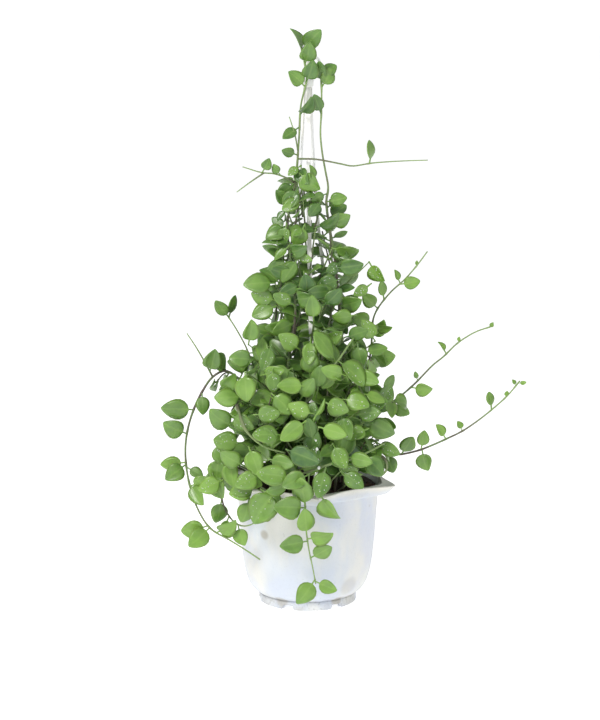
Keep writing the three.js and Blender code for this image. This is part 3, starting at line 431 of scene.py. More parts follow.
def paired_leaves(route, first, turn, phase, scale, spacing):
    """Opposite pairs at even spacing, turned round the stem from pair to pair, smaller to the tip."""
    k = np.repeat(np.arange(int((route.length - first) // spacing) + 1), 2)
    sign = np.tile([1.0, -1.0], len(k) // 2)
    share = np.minimum(0.98, (first + k * spacing) / route.length)
    tangent, middle = route.tangent(share), route.at(share)
    outward = unit(middle * [1, 1, 0])
    across = np.where(np.abs(tangent[:, 2:]) > 0.8, outward, UP)
    side = unit(np.cross(tangent, across))
    other = np.cross(side, tangent)
    angle = np.radians(phase + turn * k)[:, None]
    wave = np.sin(phase + 2.4 * k + sign)
    reach = sign[:, None] * (np.cos(angle) * side + np.sin(angle) * other)
    way = unit(reach + tangent * (0.45 + 0.2 * wave)[:, None])
    face = UP * (0.75 + 0.3 * wave)[:, None] + outward + 0.3 * tangent
    return {
        "base": route.at(share + sign * PAIR_STAGGER / route.length),
        "way": way,
        "face": face,
        "length": leaf_length() * scale * (1 - 0.4 * share**3) * (1 + 0.18 * wave),
        "share": share,
    }


def thinned(leaves, taken, by_hand):
    """Leaves grown by rule stay away from one another, from the soil and from the rim."""
    centres = leaves["base"] + leaves["way"] * (STALK_LENGTH + leaves["length"] / 2)[:, None]
    keep = np.zeros(len(centres), bool)
    for i, centre in enumerate(centres):
        near = taken and np.linalg.norm(np.array(taken) - centre, axis=1).min() <= LEAF_ROOM
        low = centre[2] < POT_HEIGHT + 6 and np.hypot(*centre[:2]) < RIM_CORNER + 6
        keep[i] = by_hand or not (near or low)
        if keep[i]:
            taken.append(centre)
    return {key: value[keep] for key, value in leaves.items()}


def leaf_length():
    """Blade length of a grown leaf, in millimetres."""
    return bpy.context.scene.vine_sizes.leaf_length / MM


def stems_of(vine, parent=None):
    """A vine's stems as (route, radius, leaves, by_hand), the main one first. A branch starts in its parent."""
    points = np.array(vine["route"], float)
    if "place" in vine:
        azimuth, beyond, height = points.T
        start = RIM_CORNER if vine["place"] == "rim" else wound_radius(height)
        points = around(start + beyond, azimuth, height)
    points = points + [0, 0, POT_HEIGHT]
    if parent is not None:
        points = np.vstack([parent.at(vine["from"]), points])
    route = Route(points)
    if "pairs" in vine:
        leaves, by_hand = paired_leaves(route, **vine["pairs"]), False
    else:
        leaves, by_hand = hand_leaves(route, vine.get("leaves", [])), True
    found = [(route, vine["radius"], leaves, by_hand)]
    for branch in vine.get("branches", []):
        found += stems_of({**{key: vine[key] for key in ("place",) if key in vine}, **branch}, route)
    return found


# ---------- Meshes ----------


def ring_faces(rows, columns):
    """Quads between neighbouring rings, and one face over each end, for rings of points in order."""
    r, c = np.meshgrid(np.arange(rows - 1), np.arange(columns), indexing="ij")
    d = (c + 1) % columns
    quads = np.stack([r * columns + c, r * columns + d, (r + 1) * columns + d, (r + 1) * columns + c], -1)
    ends = np.stack([np.arange(columns)[::-1], (rows - 1) * columns + np.arange(columns)])
    return quads.reshape(-1, 4), ends


def repeated(faces, copies, points_each):
    """The same faces for each of several copies of a shape."""
    steps = (np.arange(copies) * points_each)[:, None, None]
    return (faces[None] + steps).reshape(-1, faces.shape[-1])


def place_piece(name, points, face_sets, material, smooth=True, **attributes):
    """Makes a mesh object from points in millimetres from the pot's axis, with its place in its mesh."""
    world = points.reshape(-1, 3) * MM + [POT_AXIS.x, POT_AXIS.y, 0]
    mesh = bpy.data.meshes.new(name)
    mesh.from_pydata(world, [], list(itertools.chain.from_iterable(faces.tolist() for faces in face_sets)))
    mesh.validate()
    mesh.polygons.foreach_set("use_smooth", np.full(len(mesh.polygons), smooth))
    for key, values in attributes.items():
        flat = np.asarray(values, np.float32).reshape(len(mesh.vertices), -1)
        if flat.shape[1] == 3:
            mesh.attributes.new(key, "FLOAT_VECTOR", "POINT").data.foreach_set("vector", flat.ravel())
        else:
            mesh.attributes.new(key, "FLOAT", "POINT").data.foreach_set("value", flat.ravel())
    mesh.materials.append(material)
    piece = bpy.data.objects.new(name, mesh)
    bpy.context.scene.collection.objects.link(piece)
    return piece


def swept(route, radius, sides, step):
    """A round stem: circles square to the path, their radius given along it, closed at both ends."""
    share = np.linspace(0, 1, max(6, round(route.length / step)) + 1)
    path, tangent = route.at(share), route.tangent(share)
    spread = path - path.mean(axis=0)
    flat = np.linalg.svd(spread, full_matrices=False)[2][-1]
    one = unit(flat - np.sum(tangent * flat, axis=1, keepdims=True) * tangent)
    two = np.cross(tangent, one)
    angle = np.linspace(0, 2 * np.pi, sides, endpoint=False)[None, :, None]
    r = radius(share)[:, None, None]
    rings = path[:, None] + r * (np.cos(angle) * one[:, None] + np.sin(angle) * two[:, None])
    return rings, share


# One leaf as rings from inside its stem to its tip. Round each ring, eight points: the left edge, three
# across the upper side, the right edge and three back across the underside.
STALK_ROWS = np.array([-0.8, 1.0, STALK_LENGTH])
BLADE_ROWS = np.array([0.05, 0.15, 0.3, 0.47, 0.64, 0.79, 0.91, 0.985])
RING_ACROSS = np.array([-1, -0.62, 0, 0.62, 1, 0.62, 0, -0.62])
RING_HEIGHT = np.array([0, 1, 1, 1, 0, -1, -1, -1])


def leaf_rings(leaves):
    """Leaves as rings of points. Along the blade, its half width is a sine of the share to the power 0.75,
    flattened, so it is widest before the middle and ends in a small point. The edges are lifted by the
    distance from the midrib to the power 1.6, the midrib is sunk, the tip bends back by the square of the
    share along, and the blade twists and ripples a little, each leaf in its own measure."""
    sizes = bpy.context.scene.vine_sizes
    count = len(leaves["length"])
    length = leaves["length"][:, None, None]
    odd = np.sin(leaves["base"] @ [0.9, 1.7, 0.6] + 7 * leaves["share"])[:, None, None]
    other = np.cos(leaves["base"] @ [1.3, 0.5, 1.1] + 3 * leaves["share"])[:, None, None]
    small = np.minimum(1, length / 14)
    share = np.concatenate([np.zeros(len(STALK_ROWS)), BLADE_ROWS])[None, :, None]
    along = np.concatenate([STALK_ROWS, np.zeros(len(BLADE_ROWS))])[None, :, None]
    along = along * small + (share > 0) * (STALK_LENGTH * small + share * length)
    outline = np.sin(np.pi * share**0.75) ** 0.68
    width = sizes.leaf_aspect * (1 + 0.13 * odd)
    half = np.where(share > 0, outline * length * width / 2, STALK_RADIUS * small)
    half = np.maximum(half, 0.15)
    y = half * RING_ACROSS
    thick = np.where(share > 0, 0.55 * (1 - 0.55 * share), STALK_RADIUS) * small
    across = np.abs(RING_ACROSS) * (share > 0)
    z = thick * RING_HEIGHT
    z = z + length * (sizes.leaf_cup * (1 + other)) * (half / (length * width / 2)) * across**1.6
    z = z - 0.008 * length * (1 - across) * (RING_HEIGHT > 0) * np.sin(np.pi * share)
    z = z + 0.012 * length * np.sin(5 * share + 3 * odd) * across * np.sign(RING_ACROSS)
    bend = sizes.leaf_bend * (1 + 1.4 * odd)
    z = z - bend * length * share**2
    x = along - 0.25 * np.abs(bend) * length * share**2
    twist = 0.5 * other * share
    y, z = y * np.cos(twist) - z * np.sin(twist), y * np.sin(twist) + z * np.cos(twist)
    x = x + 0 * y
    ahead = unit(leaves["way"])
    top = unit(leaves["face"] - np.sum(leaves["face"] * ahead, axis=1, keepdims=True) * ahead)
    side = np.cross(top, ahead)
    points = leaves["base"][:, None, None] + sum(
        part[..., None] * axis[:, None, None] for part, axis in ((x, ahead), (y, side), (z, top))
    )
    one = np.ones((count, 1, 1))
    blade = np.stack(np.broadcast_arrays(one * share, one * RING_ACROSS, one * (RING_HEIGHT + 1) / 2), -1)
    return points, blade


def leaf_tone(leaves, rings):
    """From 0, old and dark, to 1, young and fresh, with painted light mixed in: fresher to the tips, darker near
    the axis as painted shade inside the foliage and lighter to the outside as painted light, and shifted near the
    tone spots."""
    # Painted shade and painted light: leaves near the axis are darker, those further out lighter.
    reach = np.hypot(leaves["base"][:, 0], leaves["base"][:, 1]) / 90
    wave = 0.5 + 0.5 * np.sin(leaves["base"] @ [2.1, 1.3, 1.9])
    tone = 0.06 + 0.32 * np.minimum(reach, 1.2) + 0.42 * wave + 0.12 * leaves["share"]
    for place, spread, shift in TONE_SPOTS:
        away = np.linalg.norm(leaves["base"] - np.add(place, (0, 0, POT_HEIGHT)), axis=1)
        tone = tone + shift * np.exp(-((away / spread) ** 2))
    tone = np.clip(tone, 0, 1)
    return np.broadcast_to(tone[:, None, None], rings.shape[:3])


# ---------- Materials ----------


def node(tree, kind, inputs=None, **settings):
    """Adds a node. An input is a value, or a socket to link from."""
    made = tree.nodes.new(kind)
    for key, value in settings.items():
        setattr(made, key, value)
    for key, value in (inputs or {}).items():
        if isinstance(value, bpy.types.NodeSocket):
            tree.links.new(value, made.inputs[key])
        else:
            made.inputs[key].default_value = value
    return made


def new_group(name, inputs, outputs):
    """A shader node group with named sockets. Returns the tree, its input node and its output node."""
    tree = bpy.data.node_groups.new(name, "ShaderNodeTree")
    for key, (kind, default) in inputs.items():
        socket = tree.interface.new_socket(key, in_out="INPUT", socket_type=kind)
        if default is not None:
            socket.default_value = default
    for key, kind in outputs.items():
        tree.interface.new_socket(key, in_out="OUTPUT", socket_type=kind)
    return tree, tree.nodes.new("NodeGroupInput"), tree.nodes.new("NodeGroupOutput")


def mottle_group():
    """Soft patches: noise at a scale, stretched to a mask between two levels."""
    inputs = {
        "Vector": ("NodeSocketVector", None),
        "Scale": ("NodeSocketFloat", 30.0),
        "Low": ("NodeSocketFloat", 0.4),
        "High": ("NodeSocketFloat", 0.6),
    }
    tree, given, out = new_group("mottle", inputs, {"Mask": "NodeSocketFloat", "Height": "NodeSocketFloat"})
    grain = {"Detail": 4.0, "Roughness": 0.55}
    at = {"Vector": given.outputs["Vector"], "Scale": given.outputs["Scale"]}
    noise = node(tree, "ShaderNodeTexNoise", {**at, **grain})
    spread = node(
        tree,
        "ShaderNodeMapRange",
        {"Value": noise.outputs["Fac"], "From Min": given.outputs["Low"], "From Max": given.outputs["High"]},
        interpolation_type="SMOOTHSTEP",
    )
    tree.links.new(spread.outputs["Result"], out.inputs["Mask"])
    tree.links.new(noise.outputs["Fac"], out.inputs["Height"])


def round_mark_group():
    """A round mark: full within a little over half its reach of a centre, and fading to its edge."""
    inputs = {
        "Vector": ("NodeSocketVector", None),
        "Centre": ("NodeSocketVector", None),
        "Reach": ("NodeSocketFloat", 0.01),
        "Strength": ("NodeSocketFloat", 0.5),
    }
    tree, given, out = new_group("round_mark", inputs, {"Mask": "NodeSocketFloat"})
    apart = {0: given.outputs["Vector"], 1: given.outputs["Centre"]}
    away = node(tree, "ShaderNodeVectorMath", apart, operation="DISTANCE").outputs["Value"]
    reach = given.outputs["Reach"]
    mask = ramp(tree, away, reach, maths(tree, "MULTIPLY", reach, 0.55))
    tree.links.new(maths(tree, "MULTIPLY", mask, given.outputs["Strength"]), out.inputs["Mask"])


def use_group(tree, name, inputs):
    """Places a copy of a node group, with its inputs."""
    made = node(tree, "ShaderNodeGroup", node_tree=bpy.data.node_groups[name])
    for key, value in inputs.items():
        if isinstance(value, bpy.types.NodeSocket):
            tree.links.new(value, made.inputs[key])
        else:
            made.inputs[key].default_value = value
    return made


def maths(tree, operation, a, b=0.5, c=None, clamp=False):
    """One step of arithmetic on values or sockets."""
    inputs = {0: a, 1: b} if c is None else {0: a, 1: b, 2: c}
    return node(tree, "ShaderNodeMath", inputs, operation=operation, use_clamp=clamp).outputs[0]


def blend_colours(tree, share, first, second):
    """Mixes two colours, each a socket or (r, g, b)."""
    made = node(tree, "ShaderNodeMix", {"Factor": share}, data_type="RGBA")
    for key, value in ((6, first), (7, second)):
        if isinstance(value, bpy.types.NodeSocket):
            tree.links.new(value, made.inputs[key])
        else:
            made.inputs[key].default_value = (*value[:3], 1.0)
    return made.outputs[2]


def ramp(tree, value, low, high, to_low=0.0, to_high=1.0):
    """A value carried smoothly from one range to another."""
    made = node(
        tree,
        "ShaderNodeMapRange",
        {"Value": value, "From Min": low, "From Max": high, "To Min": to_low, "To Max": to_high},
        interpolation_type="SMOOTHSTEP",
    )
    return made.outputs["Result"]


def new_material(name, **constants):
    """A material with its Principled shader, whose constant values stand on its own sockets."""
    material = bpy.data.materials.new(name)
    material.use_nodes = True
    tree = material.node_tree
    shader = tree.nodes["Principled BSDF"]
    for key, value in constants.items():
        shader.inputs[key.replace("_", " ")].default_value = value
    return material, tree, shader


def add_bump(tree, shader, height, strength, distance):
    """Turns a height into the shader's normal."""
    bump = node(tree, "ShaderNodeBump", {"Height": height, "Strength": strength, "Distance": distance})
    tree.links.new(bump.outputs["Normal"], shader.inputs["Normal"])


def object_place(tree):
    """Where a point lies in its object, in metres."""
    return node(tree, "ShaderNodeTexCoord").outputs["Object"]


def leaf_material():
    """Fleshy leaf: fresh or dark green by its tone, paler midrib, rim and underside, a satin skin."""
    looks = bpy.context.scene.vine_looks
    material, tree, shader = new_material(
        "leaf", Subsurface_Weight=0.12, Subsurface_Scale=0.003, Coat_Weight=0.35, Coat_Roughness=0.28
    )
    shader.inputs["Subsurface Radius"].default_value = (0.5, 0.9, 0.2)
    place = object_place(tree)
    blade = node(tree, "ShaderNodeAttribute", attribute_name="blade").outputs["Vector"]
    parts = node(tree, "ShaderNodeSeparateXYZ", {0: blade}).outputs
    tone = node(tree, "ShaderNodeAttribute", attribute_name="tone").outputs["Fac"]
    patches = use_group(tree, "mottle", {"Vector": place, "Scale": 90.0, "Low": 0.3, "High": 0.7})
    grain = use_group(tree, "mottle", {"Vector": place, "Scale": 900.0, "Low": 0.3, "High": 0.7})
    distance = maths(tree, "ABSOLUTE", parts[1])
    # The tone carries painted shade inside the foliage and painted light outside, besides how old a leaf is.
    age_and_shade = maths(tree, "ADD", tone, maths(tree, "MULTIPLY_ADD", patches.outputs["Mask"], 0.3, -0.15), clamp=True)
    colour = blend_colours(tree, age_and_shade, looks.leaf_old_and_shaded, looks.leaf_young_and_lit)
    rim = maths(tree, "MULTIPLY", ramp(tree, distance, 0.8, 1.0), 0.25)
    colour = blend_colours(tree, rim, colour, looks.leaf_rim)
    rib = maths(tree, "MULTIPLY", ramp(tree, distance, 0.02, 0.16, 1.0, 0.0), 0.15)
    colour = blend_colours(tree, rib, colour, looks.leaf_rim)
    under = maths(tree, "MULTIPLY", ramp(tree, parts[2], 0.45, 0.1), 0.55)
    colour = blend_colours(tree, under, colour, looks.leaf_under)
    tree.links.new(colour, shader.inputs["Base Color"])
    gloss = maths(tree, "MULTIPLY_ADD", patches.outputs["Mask"], 0.14, 0.34)
    tree.links.new(maths(tree, "MULTIPLY_ADD", under, 0.3, gloss), shader.inputs["Roughness"])
    groove = ramp(tree, distance, 0.0, 0.12, 0.0, 0.6)
    height = maths(tree, "MULTIPLY_ADD", grain.outputs["Height"], 0.35, groove)
    add_bump(tree, shader, height, 0.35, 0.0004)
    return material


def stem_material():
    """Stem skin: dull green to purple brown in patches, fresh green near the tips, fine grain."""
    looks = bpy.context.scene.vine_looks
    material, tree, shader = new_material("stem")
    place = object_place(tree)
    blade = node(tree, "ShaderNodeAttribute", attribute_name="blade").outputs["Vector"]
    parts = node(tree, "ShaderNodeSeparateXYZ", {0: blade}).outputs
    patches = use_group(tree, "mottle", {"Vector": place, "Scale": 45.0, "Low": 0.42, "High": 0.6})
    grain = use_group(tree, "mottle", {"Vector": place, "Scale": 700.0, "Low": 0.35, "High": 0.65})
    colour = blend_colours(tree, patches.outputs["Mask"], looks.stem_green, looks.stem_brown)
    young = ramp(tree, parts[0], 0.55, 1.0)
    colour = blend_colours(tree, maths(tree, "MULTIPLY", young, parts[1]), colour, looks.stem_young)
    colour = blend_colours(tree, maths(tree, "MULTIPLY", grain.outputs["Mask"], 0.25), colour, (0.1, 0.08, 0.05))
    tree.links.new(colour, shader.inputs["Base Color"])
    rough = maths(tree, "MULTIPLY_ADD", grain.outputs["Mask"], 0.2, 0.45)
    tree.links.new(rough, shader.inputs["Roughness"])
    add_bump(tree, shader, grain.outputs["Height"], 0.5, 0.0004)
    return material


def plastic_material(name, base, warm_tint_and_reflection, cool_tint_and_shade, grime_and_shadow, grime_low, grime_high, scale, stains_and_shadow=()):
    """White moulded plastic: cream patches drawn upright, partly the plastic's own colour and partly painted
    reflection, and bluish patches, partly its own colour and partly painted shade; dirt near given heights; fine
    scuffs.
    """
    material, tree, shader = new_material(name, IOR=1.49)
    place = object_place(tree)
    tall = node(tree, "ShaderNodeMapping", {"Vector": place, "Scale": (1.5, 1.5, 0.55)}).outputs[0]
    tint_and_painted_light = use_group(tree, "mottle", {"Vector": tall, "Scale": scale, "Low": 0.38, "High": 0.64})
    shifted = node(tree, "ShaderNodeMapping", {"Vector": place, "Location": (3.1, 1.7, 0.4)}).outputs[0]
    patches = use_group(tree, "mottle", {"Vector": shifted, "Scale": scale * 1.6, "Low": 0.42, "High": 0.64})
    cloud = use_group(tree, "mottle", {"Vector": place, "Scale": scale * 4, "Low": 0.35, "High": 0.75})
    speck = use_group(tree, "mottle", {"Vector": place, "Scale": scale * 30, "Low": 0.55, "High": 0.68})
    slanted = {"Vector": place, "Rotation": (0.3, 0.5, 0.8), "Scale": (1, 9, 1)}
    slanted = node(tree, "ShaderNodeMapping", slanted).outputs[0]
    scuff = use_group(tree, "mottle", {"Vector": slanted, "Scale": scale * 11, "Low": 0.66, "High": 0.72})
    height = node(tree, "ShaderNodeSeparateXYZ", {0: place}).outputs[2]
    # Painted reflection and painted shade: the upright cream patches stand partly for bright bands of reflection,
    # the bluish patches partly for shade.
    colour = blend_colours(tree, maths(tree, "MULTIPLY", tint_and_painted_light.outputs["Mask"], 0.6), base, warm_tint_and_reflection)
    colour = blend_colours(tree, maths(tree, "MULTIPLY", patches.outputs["Mask"], 0.42), colour, cool_tint_and_shade)
    low = ramp(tree, height, grime_low[0], grime_low[1], 1.0, 0.0)
    high = ramp(tree, height, grime_high[0], grime_high[1])
    colour = blend_colours(tree, maths(tree, "MULTIPLY", high, 0.7), colour, warm_tint_and_reflection)
    dirt = maths(tree, "MAXIMUM", low, maths(tree, "MULTIPLY", high, 0.3))
    dirt = maths(tree, "MULTIPLY", dirt, cloud.outputs["Mask"])
    colour = blend_colours(tree, maths(tree, "MULTIPLY", dirt, 0.5), colour, grime_and_shadow)
    # Round dark marks; the first of the pot's marks is a painted leaf shadow, the rest are dirt.
    for (x, y, z), reach, strength in stains_and_shadow:
        centre = (POT_AXIS.x + x * MM, POT_AXIS.y + y * MM, z * MM)
        mark = {"Vector": place, "Centre": centre, "Reach": reach * MM, "Strength": strength}
        colour = blend_colours(tree, use_group(tree, "round_mark", mark).outputs["Mask"], colour, grime_and_shadow)
    marks = maths(tree, "MULTIPLY", speck.outputs["Mask"], maths(tree, "MULTIPLY_ADD", low, 0.35, 0.05))
    marks = maths(tree, "MAXIMUM", marks, maths(tree, "MULTIPLY", scuff.outputs["Mask"], 0.16))
    colour = blend_colours(tree, marks, colour, (0.16, 0.15, 0.14))
    tree.links.new(colour, shader.inputs["Base Color"])
    rough = maths(tree, "MULTIPLY_ADD", cloud.outputs["Mask"], 0.14, 0.3)
    rough = maths(tree, "MULTIPLY_ADD", scuff.outputs["Mask"], 0.2, rough)
    tree.links.new(rough, shader.inputs["Roughness"])
    add_bump(tree, shader, cloud.outputs["Height"], 0.12, 0.0006)
    return material


def soil_material():
    """Potting mix: near-black crumbs with reddish brown bark and a few pale specks, matt and very rough."""
    looks = bpy.context.scene.vine_looks
    material, tree, shader = new_material("potting_mix")
    place = object_place(tree)
    crumbs = use_group(tree, "mottle", {"Vector": place, "Scale": 320.0, "Low": 0.4, "High": 0.62})
    bark = use_group(tree, "mottle", {"Vector": place, "Scale": 90.0, "Low": 0.48, "High": 0.62})
    pale = use_group(tree, "mottle", {"Vector": place, "Scale": 420.0, "Low": 0.68, "High": 0.74})
    colour = blend_colours(tree, crumbs.outputs["Mask"], looks.soil_dark, looks.soil_brown)
    red = maths(tree, "MULTIPLY", bark.outputs["Mask"], 0.6)
    colour = blend_colours(tree, red, colour, looks.bark_red)
    colour = blend_colours(tree, maths(tree, "MULTIPLY", pale.outputs["Mask"], 0.5), colour, (0.3, 0.25, 0.2))
    tree.links.new(colour, shader.inputs["Base Color"])
    tree.links.new(maths(tree, "MULTIPLY_ADD", crumbs.outputs["Mask"], 0.15, 0.8), shader.inputs["Roughness"])
    add_bump(tree, shader, crumbs.outputs["Height"], 1.0, 0.003)
    return material


# ---------- Settings ----------


def colour_property(name, description, default):
    return bpy.props.FloatVectorProperty(
        name=name, description=description, default=default, size=3, min=0, max=1, subtype="COLOR"
    )


class VineSizes(bpy.types.PropertyGroup):
    leaf_length: bpy.props.FloatProperty(
        name="Leaf length", description="Blade length of a grown leaf", default=0.029, unit="LENGTH"
    )
    leaf_aspect: bpy.props.FloatProperty(
        name="Leaf aspect", description="Blade width over blade length", default=0.78
    )
    leaf_cup: bpy.props.FloatProperty(
        name="Leaf cup", description="How far the blade's edges rise, as a share of its length", default=0.1
    )
    leaf_bend: bpy.props.FloatProperty(
        name="Leaf bend", description="How far the tip bends back, as a share of its length", default=0.13
    )


class VineLooks(bpy.types.PropertyGroup):
    # The old and young leaf colours also carry painted shade inside the foliage and painted light on its outside,
    # through the leaf tone.
    leaf_young_and_lit: colour_property("Young leaf", "Upper side of a fresh leaf", (0.19, 0.345, 0.05))
    leaf_old_and_shaded: colour_property("Old leaf", "Upper side of an old leaf", (0.042, 0.115, 0.024))
    leaf_rim: colour_property("Leaf rim", "Rim and midrib", (0.34, 0.5, 0.13))
    leaf_under: colour_property("Leaf underside", "Underside", (0.2, 0.33, 0.11))
    stem_green: colour_property("Stem green", "Dull green stem skin", (0.13, 0.2, 0.07))
    stem_brown: colour_property("Stem brown", "Purple brown stem skin", (0.1, 0.08, 0.062))
    stem_young: colour_property("Young stem", "Fresh stem skin near the tips", (0.24, 0.36, 0.12))
    soil_dark: colour_property("Dark soil", "Wet crumbs", (0.012, 0.008, 0.006))
    soil_brown: colour_property("Brown soil", "Dry crumbs", (0.045, 0.025, 0.016))
    bark_red: colour_property("Bark", "Reddish bark chips", (0.11, 0.04, 0.02))
    pot_white: colour_property("Pot white", "Cool white of the pot", (0.6, 0.64, 0.7))
    # The cream and lavender patch colours are partly the plastic's own tints and partly painted reflection and
    # painted shade.
    pot_cream_and_reflection: colour_property("Pot cream", "Warm tint in soft patches", (0.8, 0.77, 0.68))
    # The dirt colour also paints a leaf's shadow on the pot's body: painted shadow.
    pot_grime_and_shadow: colour_property("Pot grime", "Dirt on the rim and the foot", (0.4, 0.37, 0.31))
    pot_lavender_and_shade: colour_property("Pot lavender", "Cool tint in soft patches", (0.56, 0.61, 0.76))
    hanger_white: colour_property("Hanger white", "Straps, clips and hook", (0.97, 0.97, 0.97))


class StageLooks(bpy.types.PropertyGroup):
    floor_colour: colour_property("Floor", "Floor and backdrop", (0.95, 0.95, 0.95))
    floor_glow: bpy.props.FloatProperty(name="Floor glow", description="Keeps the floor white", default=0.55)
    key_power: bpy.props.FloatProperty(name="Key light", description="Power", default=22.0, unit="POWER")
    fill_power: bpy.props.FloatProperty(name="Fill light", description="Power", default=3.0, unit="POWER")
    sky: bpy.props.FloatProperty(name="Sky", description="Strength of the white surround", default=0.52)
    distance: bpy.props.FloatProperty(
        name="Camera distance", description="From the middle of the view", default=2.2, unit="LENGTH"
    )
    elevation: bpy.props.FloatProperty(
        name="Camera elevation", description="Above the horizon", default=math.radians(10), unit="ROTATION"
    )


# ---------- Pieces ----------


def rim_push(points):
    """Pushes the rim's band out at its six corners: a hexagon's edge over its flat, cut blunt, and the
    push grows with distance from the neck."""
    radius = np.hypot(points[..., 0], points[..., 1])
    azimuth = np.degrees(np.arctan2(points[..., 0], -points[..., 1]))
    from_flat = np.radians(np.mod(azimuth - CORNER_AZIMUTH, 60) - 30)
    edge = RIM_FLAT / np.cos(from_flat)
    corner = RIM_CORNER - 1.5
    blunt = -np.log(np.exp(-(edge - corner) / 1.2) + 1) * 1.2 + edge
    share = np.clip((radius - NECK_RADIUS) / (RIM_FLAT - NECK_RADIUS), 0, 1)
    band = np.clip((points[..., 2] - (POT_HEIGHT - RIM_DROP - 1)) / 1.0, 0, 1) * (radius > NECK_RADIUS)
    scale = 1 + share * band * (blunt - RIM_FLAT) / np.maximum(radius, 1)
    return points * np.stack([scale, scale, np.ones_like(scale)], axis=-1)


def arc_points(centre, radius, start, end, count=6):
    """Points on a round stretch of a profile, from one angle in degrees to another."""
    angle = np.radians(np.linspace(start, end, count))
    return [(centre[0] + radius * math.cos(a), centre[1] + radius * math.sin(a)) for a in angle]


def pot_profile():
    """Half section of the pot as (radius, height), from the middle of the underside round the outside."""
    neck = POT_HEIGHT - RIM_DROP
    body = Route([(r, 0, z) for r, z in [
        (FOOT_RADIUS + 1.2, 10.6), (58, 14.2), (62.5, 20.6), (65.5, 29), (68.4, 43), (71, 68), (73, 92),
        (75, neck - 1.5),
    ]]).at(np.linspace(0, 1, 40))
    inside = Route([(r, 0, z) for r, z in [
        (NECK_RADIUS - WALL, neck), (71, 92), (68.8, 68), (66.2, 43), (63.3, 29), (60.3, 21), (56, 15), (50, 9),
    ]]).at(np.linspace(0, 1, 24))
    foot = [
        (0.01, FLOOR_UNDERSIDE), (20, FLOOR_UNDERSIDE), (FOOT_RADIUS - FOOT_WALL - 1, FLOOR_UNDERSIDE),
        (FOOT_RADIUS - FOOT_WALL, FLOOR_UNDERSIDE - 0.8), (FOOT_RADIUS - FOOT_WALL, 0.8),
        (FOOT_RADIUS - FOOT_WALL + 0.8, 0), (FOOT_RADIUS - 0.9, 0), (FOOT_RADIUS - 0.2, 0.4),
        (FOOT_RADIUS, 1.2), (FOOT_RADIUS, 4), (FOOT_RADIUS, 8.4), (FOOT_RADIUS - 0.2, 8.9),
        (FOOT_RADIUS - 1.1, 9.3), (FOOT_RADIUS - 1.1, 9.8), (FOOT_RADIUS, 10.2),
    ]
    rim = [
        (75.1, neck - 0.5), (75.6, neck - 0.1), (77, neck), (80.5, neck), (81.6, neck + 0.2),
        (BAND_RADIUS + 0.3, neck + 1.0), (BAND_RADIUS + 1.6, neck + 3.2), (BAND_RADIUS + 3.2, neck + 6.3),
        (RIM_FLAT - 0.5, POT_HEIGHT - 1.9), *arc_points((RIM_FLAT - 1.2, POT_HEIGHT - 1.2), 1.2, -10, 90),
        (84, POT_HEIGHT - 0.1), *arc_points((MOUTH_RADIUS + 1, POT_HEIGHT - 1), 0.9, 90, 180),
        (77.5, POT_HEIGHT - 4), (74.8, neck + 2.5),
    ]
    floor = [(46, FLOOR_UNDERSIDE + FLOOR_THICKNESS), (0.01, FLOOR_UNDERSIDE + FLOOR_THICKNESS)]
    return np.array([*foot, *body[:, [0, 2]], *rim, *inside[:, [0, 2]], *floor])


def make_pot():
    """The pot: the profile turned about the axis, the rim pushed out at its corners, and the foot
    raised in smooth steps where its six notches are."""
    looks = bpy.context.scene.vine_looks
    profile = pot_profile()
    azimuth = np.linspace(0, 360, 288, endpoint=False)
    points = around(profile[:, :1], azimuth[None], profile[:, 1:])
    points = rim_push(points)
    pitch = 360 / FOOT_COUNT
    away = np.abs(np.mod(azimuth - CORNER_AZIMUTH, pitch) - pitch / 2)
    notch = NOTCH_HEIGHT * (1 / (1 + np.exp((away - NOTCH_DEGREES / 2) / 0.35)))
    on_foot = (profile[:, 0] > FOOT_RADIUS - FOOT_WALL - 0.5) & (profile[:, 1] < NOTCH_HEIGHT)
    on_foot = on_foot & (profile[:, 0] < FOOT_RADIUS + 0.5)
    points[on_foot, :, 2] = np.maximum(points[on_foot, :, 2], notch)
    quads, ends = ring_faces(*points.shape[:2])
    material = plastic_material(
        "pot_plastic", looks.pot_white, looks.pot_cream_and_reflection, looks.pot_lavender_and_shade, looks.pot_grime_and_shadow,
        (0.004, 0.02), (0.1245, 0.132), 14.0, POT_STAINS_AND_SHADOW,
    )
    pot = place_piece("pot", points, (quads[:, ::-1], ends[:, ::-1]), material)
    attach(pot, "root")
    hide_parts("pot_shell")
    return pot


def lumps(x, y):
    """Height of the soil's lumps: crossed sines at three scales, bent by one another."""
    wide = 1.2 * np.sin(x * 0.11 + 0.8 * np.sin(y * 0.07)) * np.cos(y * 0.13 + 0.6)
    middle = 0.8 * np.sin(x * 0.37 + 1.3 * np.sin(y * 0.29)) * np.sin(y * 0.41 + 0.9 * np.cos(x * 0.2))
    fine = 0.45 * np.sin(x * 1.1 + 1.7 * np.sin(y * 0.9)) * np.sin(y * 1.3 + 1.1 * np.cos(x * 0.8))
    return wide + middle + fine


